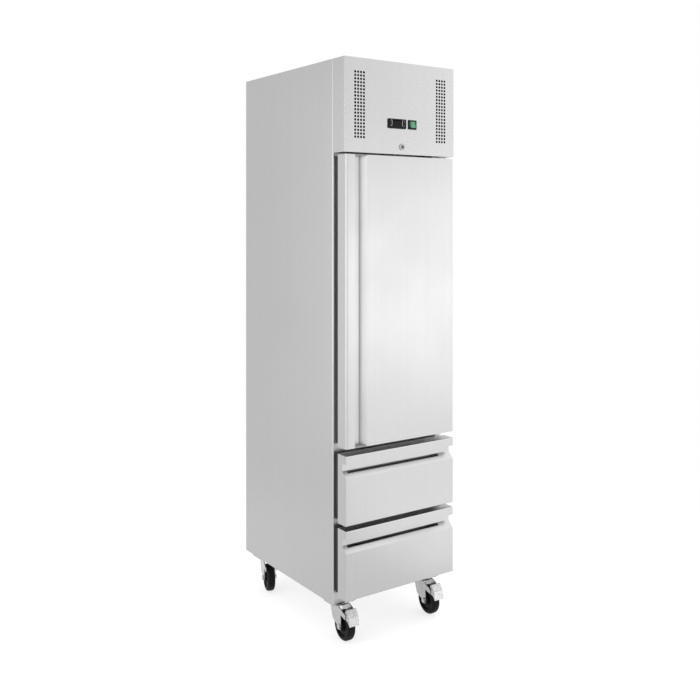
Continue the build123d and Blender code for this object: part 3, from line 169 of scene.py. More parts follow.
class Effects:
    """The effects that several finishes share, each a node group that is built once."""

    # Brushing: how much the fine and the broad lines count, and how much coarser the broad ones are
    FINE_SHARE, BROAD_SHARE, BROAD_SCALE = 0.65, 0.35, 0.06
    # Moulding: how much the skin and its wide patches count
    SKIN_SHARE, PATCH_SHARE = 0.4, 0.6
    # The part of a noise's range that is stretched to run from 0 to 1
    LINE_RANGE, SKIN_RANGE = (0.3, 0.7), (0.35, 0.65)
    # Handling: where marks start at no cover, how far full cover moves that, and how soft their edges are
    MARK_EDGE, MARK_REACH, MARK_SOFTNESS = 0.85, 0.5, 0.12

    def __init__(self) -> None:
        """Builds the four groups."""
        self.brushing = self._brushing()
        self.moulding = self._moulding()
        self.handling = self._handling()
        self.crystals = self._crystals()

    @staticmethod
    def _group(
        name: str, inputs: dict[str, object], outputs: Iterable[str],
    ) -> tuple[bpy.types.NodeTree, Tree, dict[str, Socket], dict[str, Socket]]:
        """Starts a node group.

        Args:
            name: the group's name.
            inputs: each input's name and its first value, a number or a vector.
            outputs: the names of the outputs, all plain values.

        Returns:
            The group, its tree, its input sockets by name and its output sockets by name.
        """
        group = bpy.data.node_groups.new(name, "ShaderNodeTree")
        for socket, value in inputs.items():
            kind = "NodeSocketVector" if isinstance(value, tuple) else "NodeSocketFloat"
            group.interface.new_socket(socket, in_out="INPUT", socket_type=kind).default_value = value
        for socket in outputs:
            group.interface.new_socket(socket, in_out="OUTPUT", socket_type="NodeSocketFloat")
        entry, leave = group.nodes.new("NodeGroupInput"), group.nodes.new("NodeGroupOutput")
        taken = {socket.name: socket for socket in entry.outputs if socket.name}
        given = {socket.name: socket for socket in leave.inputs if socket.name}
        return group, Tree(group), taken, given

    def _brushing(self) -> bpy.types.NodeTree:
        """Builds the lines of brushed sheet, with soft rolling marks under them.

        Returns:
            A group with Streak, Cloud and Height.
        """
        group, tree, taken, given = self._group(
            "brushed_lines", {"Grain": Grain.UPRIGHT.value, "Cloud Scale": 2.5},
            ("Streak", "Cloud", "Height"))
        place = tree.add("TexCoord").outputs["Object"]
        stretch = tree.add("VectorMath", operation="MULTIPLY")
        tree.join(place, stretch.inputs[0])
        tree.join(taken["Grain"], stretch.inputs[1])
        fine = tree.add("TexNoise", Scale=1.0, Detail=2.0, Roughness=0.65)
        tree.join(stretch.outputs[0], fine.inputs["Vector"])
        wide = tree.add("VectorMath", operation="SCALE", Scale=self.BROAD_SCALE)
        tree.join(stretch.outputs[0], wide.inputs[0])
        broad = tree.add("TexNoise", Scale=1.0, Detail=1.0)
        tree.join(wide.outputs[0], broad.inputs["Vector"])
        cloud = tree.add("TexNoise", Detail=3.0, Roughness=0.55)
        tree.join(place, cloud.inputs["Vector"])
        tree.join(taken["Cloud Scale"], cloud.inputs["Scale"])
        both = tree.maths("MULTIPLY_ADD", fine.outputs["Fac"], self.FINE_SHARE)
        tree.join(tree.maths("MULTIPLY", broad.outputs["Fac"], self.BROAD_SHARE), both.node.inputs[2])
        tree.join(tree.ramp(both, *self.LINE_RANGE), given["Streak"])
        tree.join(tree.ramp(cloud.outputs["Fac"], *self.LINE_RANGE), given["Cloud"])
        tree.join(fine.outputs["Fac"], given["Height"])
        return group

    def _moulding(self) -> bpy.types.NodeTree:
        """Builds the fine skin of moulded plastic, rubber and sprayed paint.

        Returns:
            A group with Tone and Height.
        """
        group, tree, taken, given = self._group(
            "moulded_skin", {"Scale": 1400.0, "Patch Scale": 14.0}, ("Tone", "Height"))
        place = tree.add("TexCoord").outputs["Object"]
        skin = tree.add("TexNoise", Detail=2.0)
        patch = tree.add("TexNoise", Detail=2.0)
        for noise, scale in ((skin, "Scale"), (patch, "Patch Scale")):
            tree.join(place, noise.inputs["Vector"])
            tree.join(taken[scale], noise.inputs["Scale"])
        close = tree.maths("MULTIPLY", skin.outputs["Fac"], self.SKIN_SHARE)
        wide = tree.maths("MULTIPLY", patch.outputs["Fac"], self.PATCH_SHARE)
        tree.join(tree.ramp(tree.maths("ADD", close, wide), *self.SKIN_RANGE), given["Tone"])
        tree.join(skin.outputs["Fac"], given["Height"])
        return group

    def _handling(self) -> bpy.types.NodeTree:
        """Builds the scuffs and dust of a piece that is kicked, rolled or gripped.

        Returns:
            A group with Mask, which is 1 in a mark.
        """
        group, tree, taken, given = self._group("handling_marks", {"Scale": 60.0, "Cover": 0.4}, ("Mask",))
        place = tree.add("TexCoord").outputs["Object"]
        marks = tree.add("TexNoise", Detail=5.0, Roughness=0.7, Distortion=0.6)
        tree.join(place, marks.inputs["Vector"])
        tree.join(taken["Scale"], marks.inputs["Scale"])
        edge = tree.maths("SUBTRACT", self.MARK_EDGE, tree.maths("MULTIPLY", taken["Cover"], self.MARK_REACH))
        step = tree.add("MapRange", interpolation_type="SMOOTHSTEP")
        tree.join(marks.outputs["Fac"], step.inputs["Value"])
        tree.join(tree.maths("SUBTRACT", edge, self.MARK_SOFTNESS), step.inputs["From Min"])
        tree.join(edge, step.inputs["From Max"])
        tree.join(step.outputs["Result"], given["Mask"])
        return group

    def _crystals(self) -> bpy.types.NodeTree:
        """Builds the crystal pattern of zinc on steel.

        Returns:
            A group with Tone and Height.
        """
        group, tree, taken, given = self._group(
            "zinc_crystals", {"Scale": 90.0, "Warp": 0.25}, ("Tone", "Height"))
        place = tree.add("TexCoord").outputs["Object"]
        bend = tree.add("TexNoise", Detail=2.0)
        tree.join(place, bend.inputs["Vector"])
        tree.join(taken["Scale"], bend.inputs["Scale"])
        shifted = tree.add("VectorMath", operation="MULTIPLY_ADD")
        tree.join(bend.outputs["Color"], shifted.inputs[0])
        spread = tree.maths("DIVIDE", taken["Warp"], taken["Scale"])
        tree.join(spread, shifted.inputs[1])
        tree.join(place, shifted.inputs[2])
        cells = tree.add("TexVoronoi", feature="F1")
        tree.join(shifted.outputs[0], cells.inputs["Vector"])
        tree.join(taken["Scale"], cells.inputs["Scale"])
        shade = tree.add("SeparateColor")
        tree.join(cells.outputs["Color"], shade.inputs["Color"])
        tree.join(shade.outputs[0], given["Tone"])
        tree.join(cells.outputs["Distance"], given["Height"])
        return group


# Finishes


class Material:
    """A material under construction: its Principled shader and the calls that dress it."""

    def __init__(self, name: str) -> None:
        """Starts a material with one Principled shader.

        Args:
            name: the finish's name.
        """
        self.made = bpy.data.materials.new(name)
        self.made.use_nodes = True
        self.tree = Tree(self.made.node_tree)
        self.shader = self.made.node_tree.nodes["Principled BSDF"]

    def plain(self, **values: float) -> None:
        """Sets sockets of the shader that are the same all over.

        Args:
            values: each socket's value by its name, with _ for a space.
        """
        for name, value in values.items():
            self.shader.inputs[name.replace("_", " ")].default_value = value

    def effect(self, group: bpy.types.NodeTree, **values: float | Point) -> dict[str, Socket]:
        """Places a shared effect with this finish's own values.

        Args:
            group: the effect's node group.
            values: each input's value by its name, with _ for a space.

        Returns:
            The effect's outputs by name.
        """
        node = self.tree.add("Group", node_tree=group)
        for name, value in values.items():
            node.inputs[name.replace("_", " ")].default_value = value
        return {socket.name: socket for socket in node.outputs}

    def feed(self, name: str, source: Socket) -> None:
        """Links a varying value or colour to a socket of the shader."""
        self.tree.join(source, self.shader.inputs[name])

    def relief(self, height: Socket, depth: float, strength: float = 1.0) -> None:
        """Gives the surface a fine relief.

        Args:
            height: the relief, from 0 to 1.
            depth: its depth in metres.
            strength: how much of it shows.
        """
        bump = self.tree.add("Bump", Distance=depth, Strength=strength)
        self.tree.join(height, bump.inputs["Height"])
        self.feed("Normal", bump.outputs["Normal"])


@dataclass(frozen=True)
class BrushedSheet:
    """Brushed stainless or aluminium sheet."""

    light: Colour
    dark: Colour
    roughness: float
    grain: Grain = Grain.UPRIGHT
    depth: float = 4e-6
    cloud_scale: float = 2.5
    wear: Span = (-0.03, 0.04)
    streak_gloss: float = -0.03

    def build(self, name: str, effects: Effects) -> bpy.types.Material:
        """Makes the material.

        Args:
            name: the finish's name.
            effects: the shared effects.

        Returns:
            The material.
        """
        made = Material(name)
        lines = made.effect(effects.brushing, Grain=self.grain.value, Cloud_Scale=self.cloud_scale)
        made.plain(Metallic=1.0)
        made.feed("Base Color", made.tree.blend(lines["Streak"], self.dark, self.light))
        worn = made.tree.ramp(lines["Cloud"], 0.0, 1.0, *(self.roughness + change for change in self.wear))
        polish = made.tree.maths("MULTIPLY", lines["Streak"], self.streak_gloss)
        made.feed("Roughness", made.tree.maths("ADD", worn, polish))
        made.relief(lines["Height"], self.depth)
        return made.made


@dataclass(frozen=True)
class ZincSheet:
    """Zinc-coated steel, with its crystals and the scuffs of use."""

    light: Colour
    dark: Colour
    roughness: float
    crystal_scale: float = 90.0
    crystal_warp: float = 0.35
    crystal_spread: float = 0.05
    scuff_scale: float = 60.0
    scuffs: float = 0.3
    scuff_strength: float = 0.6
    scuff_shade: float = 0.72
    scuff_roughness: float = 0.15
    depth: float = 3e-5

    def build(self, name: str, effects: Effects) -> bpy.types.Material:
        """Makes the material.

        Args:
            name: the finish's name.
            effects: the shared effects.

        Returns:
            The material.
        """
        made = Material(name)
        zinc = made.effect(effects.crystals, Scale=self.crystal_scale, Warp=self.crystal_warp)
        scuff = made.effect(effects.handling, Scale=self.scuff_scale, Cover=self.scuffs)
        made.plain(Metallic=1.0)
        clean = made.tree.blend(zinc["Tone"], self.dark, self.light)
        dull = tuple(self.scuff_shade * part for part in self.dark)
        marks = made.tree.maths("MULTIPLY", scuff["Mask"], self.scuff_strength)
        made.feed("Base Color", made.tree.blend(marks, clean, dull))
        spread = self.crystal_spread
        rough = made.tree.ramp(zinc["Tone"], 0.0, 1.0, self.roughness - spread, self.roughness + spread)
        rubbed = made.tree.maths("MULTIPLY", scuff["Mask"], self.scuff_roughness)
        made.feed("Roughness", made.tree.maths("ADD", rough, rubbed))
        made.relief(zinc["Height"], self.depth, strength=0.5)
        return made.made


@dataclass(frozen=True)
class Moulded:
    """Moulded plastic, rubber, or a sprayed or dipped coat."""

    colour: Colour
    roughness: float
    variation: float = 0.12
    scale: float = 1400.0
    depth: float = 2e-5
    coat: float = 0.0
    specular: float = 0.5
    spread: float = 0.04
    patch_ratio: float = 90.0
    dust: float = 0.0
    dust_colour: Colour = (0.32, 0.31, 0.29)
    dust_scale: float = 45.0
    dust_strength: float = 0.35
    dust_roughness: float = 0.2

    def build(self, name: str, effects: Effects) -> bpy.types.Material:
        """Makes the material.

        Args:
            name: the finish's name.
            effects: the shared effects.

        Returns:
            The material.
        """
        made = Material(name)
        skin = made.effect(effects.moulding, Scale=self.scale, Patch_Scale=self.scale / self.patch_ratio)
        dark = tuple(part * (1 - self.variation) for part in self.colour)
        light = tuple(part * (1 + self.variation) for part in self.colour)
        colour = made.tree.blend(skin["Tone"], dark, light)
        spread = self.spread
        rough = made.tree.ramp(skin["Tone"], 0.0, 1.0, self.roughness - spread, self.roughness + spread)
        if self.dust:
            mask = made.effect(effects.handling, Scale=self.dust_scale, Cover=self.dust)["Mask"]
            film = made.tree.maths("MULTIPLY", mask, self.dust_strength)
            colour = made.tree.blend(film, colour, self.dust_colour)
            rough = made.tree.maths("ADD", rough, made.tree.maths("MULTIPLY", mask, self.dust_roughness))
        made.feed("Base Color", colour)
        made.feed("Roughness", rough)
        made.plain(Coat_Weight=self.coat, Coat_Roughness=0.12, Specular_IOR_Level=self.specular)
        made.relief(skin["Height"], self.depth)
        return made.made


@dataclass(frozen=True)
class Foam:
    """Cut rigid foam with its open cells, with painted shade in the hollows of the cells."""

    colour: Colour = (0.80, 0.70, 0.45)
    roughness: float = 0.92
    cell_scale: float = 700.0
    cell_warp: float = 0.6
    cell_edge: Span = (0.1, 0.6)
    cell_shade: float = 0.7
    cell_depth: float = 4e-4
    pale_share: float = 1.12

    def build(self, name: str, effects: Effects) -> bpy.types.Material:
        """Makes the material.

        Args:
            name: the finish's name.
            effects: the shared effects.

        Returns:
            The material.
        """
        made = Material(name)
        cells = made.effect(effects.crystals, Scale=self.cell_scale, Warp=self.cell_warp)
        skin = made.effect(effects.moulding, Scale=500.0, Patch_Scale=9.0)
        pores = made.tree.ramp(cells["Height"], *self.cell_edge)
        brighter = tuple(min(1.0, self.pale_share * part) for part in self.colour)
        pale = made.tree.blend(skin["Tone"], self.colour, brighter)
        # Painted shade: the colour is darker towards the middle of each cell's hollow
        shaded_hollow = tuple(self.cell_shade * part for part in self.colour)
        made.feed("Base Color", made.tree.blend(pores, shaded_hollow, pale))
        made.plain(Roughness=self.roughness)
        made.relief(cells["Height"], self.cell_depth, strength=0.7)
        return made.made


@dataclass(frozen=True)
class Fins:
    """The edges of thin aluminium fins, stacked along X, with painted shade in the gaps between them."""

    light: Colour = (0.74, 0.75, 0.76)
    # Painted shade: the colour of the gaps between the fins
    dark: Colour = (0.10, 0.10, 0.11)
    worn_share: float = 0.85
    roughness: Span = (0.34, 0.46)
    pitch: float = 0.0025
    edge: Span = (-0.2, 0.7)
    depth: float = 8e-4

    def build(self, name: str, effects: Effects) -> bpy.types.Material:
        """Makes the material.

        Args:
            name: the finish's name.
            effects: the shared effects.

        Returns:
            The material.
        """
        made = Material(name)
        place = made.tree.add("SeparateXYZ")
        made.tree.join(made.tree.add("TexCoord").outputs["Object"], place.inputs[0])
        wave = made.tree.maths("SINE", made.tree.maths("MULTIPLY", place.outputs["X"], math.tau / self.pitch))
        fins_versus_shaded_gaps = made.tree.ramp(wave, *self.edge)
        lines = made.effect(effects.brushing, Grain=Grain.UPRIGHT.value, Cloud_Scale=9.0)
        worn = tuple(self.worn_share * part for part in self.light)
        bright = made.tree.blend(lines["Cloud"], worn, self.light)
        # The dark stripes between the fins are painted shade
        made.feed("Base Color", made.tree.blend(fins_versus_shaded_gaps, self.dark, bright))
        made.feed("Roughness", made.tree.ramp(lines["Cloud"], 0.0, 1.0, *self.roughness))
        made.plain(Metallic=1.0)
        made.relief(fins_versus_shaded_gaps, self.depth)
        return made.made


@dataclass(frozen=True)
class LitLens:
    """The green lens of the rocker, which glows towards its right side and has painted shade on its darker
    left side.
    """

    glow: Colour = (0.025, 0.36, 0.14)
    body: Colour = (0.012, 0.11, 0.05)
    # Over this span of X the glow fades out towards the left and the painted shade sets in
    glow_edge_x: Span = (0.038, 0.044)
    left_glow_share: float = 0.04
    left_painted_shade: float = 0.25
    cloud_share: float = 0.82
    strength: float = 0.62
    roughness: float = 0.22
    depth: float = 1e-5

    def build(self, name: str, effects: Effects) -> bpy.types.Material:
        """Makes the material.

        Args:
            name: the finish's name.
            effects: the shared effects.

        Returns:
            The material.
        """
        made = Material(name)
        place = made.tree.add("SeparateXYZ")
        made.tree.join(made.tree.add("TexCoord").outputs["Object"], place.inputs[0])
        glow_not_shade = made.tree.ramp(place.outputs["X"], *self.glow_edge_x, self.left_glow_share, 1.0)
        skin = made.effect(effects.moulding, Scale=900.0, Patch_Scale=160.0)
        cloud = made.tree.ramp(skin["Tone"], 0.0, 1.0, self.cloud_share, 1.0)
        cloudy = made.tree.maths("MULTIPLY", glow_not_shade, cloud)
        # Painted shade: the base colour is darker on the left side, where the lens does not glow
        dark = tuple(self.left_painted_shade * part for part in self.body)
        made.feed("Base Color", made.tree.blend(glow_not_shade, dark, self.body))
        made.feed("Emission Color", made.tree.blend(cloudy, (0.0, 0.0, 0.0), self.glow))
        made.plain(Roughness=self.roughness, Emission_Strength=self.strength)
        made.plain(Coat_Weight=0.5, Coat_Roughness=0.08)
        made.relief(skin["Height"], self.depth)
        return made.made


FINISHES = {
    "cabinet_steel": BrushedSheet((0.484, 0.484, 0.483), (0.468, 0.468, 0.467), 0.34, depth=1.5e-6),
    "galvanised_sheet": ZincSheet(
        (0.64, 0.65, 0.66), (0.50, 0.51, 0.52), 0.42, crystal_scale=70.0, scuffs=0.15),
    "liner_steel": BrushedSheet((0.72, 0.72, 0.715), (0.64, 0.64, 0.638), 0.32),
    "foam": Foam(),
    "panel_plastic": Moulded((0.80, 0.80, 0.79), 0.38, variation=0.02, depth=1e-5),
    "drawer_plastic": Moulded((0.27, 0.27, 0.268), 0.5, variation=0.06),
    "cap_plastic": Moulded((0.30, 0.30, 0.295), 0.5, variation=0.05),
    "gasket_rubber": Moulded((0.075, 0.075, 0.077), 0.52, variation=0.15, dust=0.12),
    "zinc_steel": ZincSheet((0.60, 0.60, 0.595), (0.38, 0.38, 0.378), 0.30, crystal_scale=420.0),
    "wheel_rubber": Moulded(
        (0.005, 0.005, 0.0052), 0.5, variation=0.2, scale=900.0, specular=0.12, dust=0.25,
        dust_colour=(0.05, 0.048, 0.045)),
    "controller_plastic": Moulded((0.008, 0.008, 0.0085), 0.34, variation=0.1, specular=0.12),
    "black_plastic": Moulded((0.009, 0.009, 0.0095), 0.38, variation=0.1, specular=0.15),
    # Painted shade: the near-black colour of the sheet behind the grille holes
    "filter_foam": Moulded((0.006, 0.006, 0.006), 0.9, variation=0.3, scale=600.0, depth=3e-4, specular=0.05),
    "green_lens": LitLens(),
    "lock_metal": BrushedSheet((0.42, 0.42, 0.42), (0.32, 0.32, 0.32), 0.24, Grain.TURNED, depth=2e-6),
    # Painted shade: the plug is dark to stand for the shade in its keyhole
    "plug_metal": BrushedSheet((0.13, 0.13, 0.13), (0.09, 0.09, 0.09), 0.22, Grain.TURNED, depth=2e-6),
    "wire_coating": Moulded((0.66, 0.67, 0.66), 0.33, variation=0.04, depth=3e-5, coat=0.4),
    "coil_aluminium": Fins(),
    "black_paint": Moulded((0.02, 0.02, 0.022), 0.42, variation=0.15, scale=700.0, coat=0.3, dust=0.2),
    "copper": BrushedSheet((0.72, 0.40, 0.26), (0.58, 0.30, 0.19), 0.30, Grain.TURNED),
    "window_glass": Moulded((0.004, 0.004, 0.0045), 0.10, variation=0.05, depth=0.0, specular=0.15),
    "grey_print": Moulded((0.42, 0.43, 0.44), 0.5, variation=0.06),
}


class Wardrobe:
    """Builds each finish once and dresses pieces with it."""

    def __init__(self) -> None:
        """Builds every finish."""
        effects = Effects()
        self.materials = {name: finish.build(name, effects) for name, finish in FINISHES.items()}

    def dress_packed_nodes(self) -> None:
        """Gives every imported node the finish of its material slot."""
        for row in frame["record"]["subparts"]:
            mesh = frame["nodes"][row["node"]].data
            mesh.materials.clear()
            mesh.materials.append(self.materials[row["material_slot"]])
            log.info("node %s: %s", row["node"], row["material_slot"])


# Pieces


def make_piece(
    name: str, shape: bmesh.types.BMesh, body: str, material: bpy.types.Material,
    sharp: float = 35.0,
) -> bpy.types.Object:
    """Turns a shape into a piece of the object.

    Args:
        name: the piece's name.
        shape: its mesh, which is freed.
        body: the CAD body that it rides on.
        material: its finish.
        sharp: the angle in degrees from which an edge is shaded sharp.

    Returns:
        The new object.
    """
    bmesh.ops.recalc_face_normals(shape, faces=shape.faces)
    mesh = bpy.data.meshes.new(name)
    shape.to_mesh(mesh)
    shape.free()
    mesh.shade_smooth()
    mesh.set_sharp_from_angle(angle=math.radians(sharp))
    mesh.materials.append(material)
    piece = bpy.data.objects.new(name, mesh)
    bpy.context.scene.collection.objects.link(piece)
    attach(piece, body)
    log.info("piece %s rides on %s", name, body)
    return piece


def skin_rings(
    shape: bmesh.types.BMesh, rings: list[list[Vector]], closed: bool = False,
) -> list[list[bmesh.types.BMVert]]:
    """Joins closed rings of points with quads.

    Args:
        shape: the mesh that the rings are added to.
        rings: rings with the same number of points each.
        closed: whether the last ring joins the first.

    Returns:
        The new vertices, ring by ring.
    """
    made = [[shape.verts.new(point) for point in ring] for ring in rings]
    pairs = list(zip(made, made[1:])) + ([(made[-1], made[0])] if closed else [])
    for near, far in pairs:
        for place in range(len(near)):
            after = (place + 1) % len(near)
            shape.faces.new((near[place], near[after], far[after], far[place]))
    return made


def add_plate(shape: bmesh.types.BMesh, outline: Outline, y_back: float, y_front: float) -> None:
    """Adds a thin plate that faces the front.

    Args:
        shape: the mesh that it is added to.
        outline: its outline as (x, z), in order.
        y_back: the plane of its back.
        y_front: the plane of its front.
    """
    made = skin_rings(shape, [[Vector((x, y, z)) for x, z in outline] for y in (y_back, y_front)])
    shape.faces.new(made[0])
    shape.faces.new(made[1])


@dataclass(frozen=True)
class Gasket:
    """A magnetic gasket: bellows on the door side, magnet chamber on the frame side, mitred corners."""

    node: str
    body: str
    width: float = 0.020
    # The section as shares of width and thickness: out along its outer side, back along its inner one
    section: tuple[Span, ...] = (
        (0.26, 0.0), (0.26, 0.10), (0.05, 0.26), (0.03, 0.34), (0.20, 0.50), (0.20, 0.56), (0.0, 0.68),
        (0.0, 0.94), (0.03, 1.0), (0.70, 1.0), (0.80, 0.99), (1.0, 0.90), (1.0, 0.86), (0.80, 0.88),
        (0.72, 0.68), (0.60, 0.56), (0.60, 0.50), (0.78, 0.34), (0.76, 0.26), (0.56, 0.10), (0.56, 0.0),
    )

    def build(self, wardrobe: Wardrobe) -> bpy.types.Object:
        """Makes the gasket in the place of its node.

        Args:
            wardrobe: the finishes.

        Returns:
            The new piece.
        """
        low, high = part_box(self.node)
        rings = []
        for across, along in self.section:
            inset, y = across * self.width, low.y + along * (high.y - low.y)
            left, right, foot, head = low.x + inset, high.x - inset, low.z + inset, high.z - inset
            corners = ((left, foot), (right, foot), (right, head), (left, head))
            rings.append([Vector((x, y, z)) for x, z in corners])
        shape = bmesh.new()
        skin_rings(shape, rings, closed=True)
        rubber = wardrobe.materials["gasket_rubber"]
        piece = make_piece(self.node + "_bellows", shape, self.body, rubber, sharp=50.0)
        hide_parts(self.node)
        return piece


@dataclass(frozen=True)
class PanScrew:
    """A small pan-head screw with a cross recess."""

    radius: float = 0.0036
    height: float = 0.0022
    droop: float = 0.35
    rim: float = 0.92
    rim_height: float = 0.45
    recess_width: float = 0.00055
    recess_reach: float = 0.0019
    recess_depth: float = 0.0012
    steps: tuple[float, ...] = (0.0004, 0.0006, 0.0011, 0.0018, 0.0020, 0.0027, 0.0033)
    sink: float = 0.0002
    turns: int = 32

    def surface(self, r: float, angle: float) -> float:
        """Gives the head's height at a place.

        Args:
            r: distance from the axis.
            angle: angle round the axis.

        Returns:
            The height above the seat.
        """
        share = 1 - self.droop * (r / self.radius) ** 2 if r < self.rim * self.radius else self.rim_height
        near, far = sorted((abs(r * math.cos(angle)), abs(r * math.sin(angle))))
        in_recess = near < self.recess_width and far < self.recess_reach
        return self.height * share - (self.recess_depth if in_recess else 0.0)

    def add_to(self, shape: bmesh.types.BMesh, seat: Vector, out: Vector, turn: float) -> None:
        """Adds one screw head.

        Args:
            shape: the mesh that it is added to.
            seat: the middle of its seat.
            out: the way that the head faces.
            turn: how far its recess is turned, in radians.
        """
        stand = out.to_track_quat("Z", "Y").to_matrix()
        angles = [math.tau * number / self.turns for number in range(self.turns)]

        def at(r: float, angle: float, height: float) -> Vector:
            """Places a point of the head."""
            return seat + stand @ Vector((r * math.cos(turn + angle), r * math.sin(turn + angle), height))

        radii = (*self.steps, self.radius)
        rings = [[at(r, angle, self.surface(r, angle)) for angle in angles] for r in radii]
        rings.append([at(self.radius, angle, -self.sink) for angle in angles])
        made = skin_rings(shape, rings)
        shape.faces.new(made[0])


@dataclass(frozen=True)
class BackScrews:
    """The screws that hold the back panel."""

    inset_x: float = 0.012
    inset_z: float = 0.014
    rows: int = 8
    columns: int = 3
    turn_step: float = 0.7

    @staticmethod
    def spaced(low: float, high: float, count: int) -> list[float]:
        """Spaces places evenly.

        Args:
            low: the first place.
            high: the last place.
            count: how many there are.

        Returns:
            The places.
        """
        return [low + (high - low) * number / (count - 1) for number in range(count)]

    def build(self, wardrobe: Wardrobe) -> bpy.types.Object:
        """Makes a row of screws along each side of the panel, and one midway at its foot and at its head.

        Args:
            wardrobe: the finishes.

        Returns:
            The new piece.
        """
        low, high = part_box("back_panel")
        shape, screw = bmesh.new(), PanScrew()
        heights = self.spaced(low.z + self.inset_z, high.z - self.inset_z, self.rows)
        widths = self.spaced(low.x + self.inset_x, high.x - self.inset_x, self.columns)
        places = [(x, z) for x in (widths[0], widths[-1]) for z in heights]
        places += [(x, z) for x in widths[1:-1] for z in (heights[0], heights[-1])]
        for number, (x, z) in enumerate(places):
            screw.add_to(shape, Vector((x, high.y, z)), Vector((0, 1, 0)), self.turn_step * number)
        zinc = wardrobe.materials["zinc_steel"]
        return make_piece("back_panel_screws", shape, "cabinet", zinc)


@dataclass(frozen=True)
class GrilleShadeSheet:
    """A black sheet behind one air grille, cut with rounded corners, that darkens the holes as painted shade.
    """

    name: str
    x_range: Span
    z_range: Span = (1.706, 1.943)
    gap: float = 0.0014
    thickness: float = 0.003
    corner: float = 0.006
    corner_steps: int = 6

    def build(self, wardrobe: Wardrobe) -> bpy.types.Object:
        """Makes the sheet just behind the perforated front of the head panel.

        Args:
            wardrobe: the finishes.

        Returns:
            The new piece.
        """
        low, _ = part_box("head_panel")
        corners = ((1, 1), (0, 1), (0, 0), (1, 0))
        outline = []
        for quarter, (right, upper) in enumerate(corners):
            x_mid = self.x_range[right] + self.corner * (-1 if right else 1)
            z_mid = self.z_range[upper] + self.corner * (-1 if upper else 1)
            for step in range(self.corner_steps + 1):
                angle = math.tau / 4 * (quarter + step / self.corner_steps)
                outline.append((x_mid + self.corner * math.cos(angle), z_mid + self.corner * math.sin(angle)))
        shape = bmesh.new()
        add_plate(shape, outline, low.y + self.gap + self.thickness, low.y + self.gap)
        return make_piece(self.name, shape, "cabinet", wardrobe.materials["filter_foam"])


@dataclass(frozen=True)
class ControllerFace:
    """The controller's dark window, the arcs beside it and the signs on its buttons."""

    window: Span = (0.040, 0.020)
    window_depth: float = 0.0008
    window_gap: float = 0.0001
    window_bevel: Span = (0.0005, 0.0003)
    centre: Span = (-0.020, 1.7715)
    arc_gap: float = 0.0022
    arc_bulge: float = 0.0028
    arc_width: float = 0.0017
    arc_height: float = 1.15
    arc_steps: int = 16
    sign_size: float = 0.0016
    sign_sink: float = 0.00002
    print_height: float = 0.00012

    def glass(self, wardrobe: Wardrobe) -> bpy.types.Object:
        """Makes the window's glass, with a small bevel round it.

        Args:
            wardrobe: the finishes.

        Returns:
            The new piece.
        """
        low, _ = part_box("controller")
        (width, height), (x_mid, z_mid) = self.window, self.centre
        gap, (bevel, bevel_depth) = self.window_gap, self.window_bevel
        rings = []
        for inset, depth in ((gap, self.window_depth), (gap, bevel_depth), (gap + bevel, 0.0)):
            half_x, half_z = width / 2 - inset, height / 2 - inset
            corners = ((-half_x, -half_z), (half_x, -half_z), (half_x, half_z), (-half_x, half_z))
            rings.append([Vector((x_mid + x, low.y + depth, z_mid + z)) for x, z in corners])
        shape = bmesh.new()
        made = skin_rings(shape, rings)
        shape.faces.new(made[-1])
        shape.faces.new(made[0])
        return make_piece("display_glass", shape, "cabinet", wardrobe.materials["window_glass"], sharp=20.0)

    def arcs(self, wardrobe: Wardrobe) -> bpy.types.Object:
        """Makes the two printed arcs that part the buttons from the window.

        Args:
            wardrobe: the finishes.

        Returns:
            The new piece.
        """
        low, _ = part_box("controller")
        (width, height), (x_mid, z_mid) = self.window, self.centre
        heights = [2 * step / self.arc_steps - 1 for step in range(self.arc_steps + 1)]
        half_line = self.arc_width / 2
        shape = bmesh.new()
        for side in (-1, 1):
            spine = [(x_mid + side * (width / 2 + self.arc_gap + self.arc_bulge * t ** 2),
                      z_mid + t * height / 2 * self.arc_height) for t in heights]
            outline = [(x - half_line, z) for x, z in spine]
            outline += [(x + half_line, z) for x, z in reversed(spine)]
            add_plate(shape, outline, low.y, low.y - self.print_height)
        return make_piece("controller_arcs", shape, "cabinet", wardrobe.materials["grey_print"])

    def sign(self, button: str, outlines: list[Outline], wardrobe: Wardrobe) -> bpy.types.Object:
        """Makes the sign on one button.

        Args:
            button: the button's node and body.
            outlines: the sign's outlines round the button's middle, as (x, z) in metres.
            wardrobe: the finishes.

        Returns:
            The new piece.
        """
        low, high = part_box(button)
        middle = (low + high) / 2
        shape = bmesh.new()
        for outline in outlines:
            placed = [(middle.x + x, middle.z + z) for x, z in outline]
            add_plate(shape, placed, low.y + self.sign_sink, low.y - self.print_height)
        return make_piece(button + "_sign", shape, button, wardrobe.materials["grey_print"])

    def build(self, wardrobe: Wardrobe) -> None:
        """Makes all pieces of the face.

        Args:
            wardrobe: the finishes.
        """
        def bar(x0: float, x1: float, z0: float, z1: float) -> Outline:
            """Gives a rectangle's outline, in units of the sign's size."""
            return [(x0, z0), (x1, z0), (x1, z1), (x0, z1)]

        angles = [math.tau * step / 16 for step in range(16)]
        disc = [(0.6 * math.cos(angle), 0.6 * math.sin(angle)) for angle in angles]
        signs = {
            "up_button": [[(-1.0, -0.7), (1.0, -0.7), (0.0, 0.9)]],
            "down_button": [[(-1.0, 0.7), (0.0, -0.9), (1.0, 0.7)]],
            "set_button": [bar(-1.0, 1.0, -0.25, 0.25)],
            "light_button": [
                disc, bar(-0.12, 0.12, 0.8, 1.2), bar(-0.12, 0.12, -1.2, -0.8), bar(-1.2, -0.8, -0.12, 0.12),
                bar(0.8, 1.2, -0.12, 0.12)],
        }
        self.glass(wardrobe)
        self.arcs(wardrobe)
        for button, outlines in signs.items():
            scaled = [[(self.sign_size * x, self.sign_size * z) for x, z in outline] for outline in outlines]
            self.sign(button, scaled, wardrobe)


# Stage


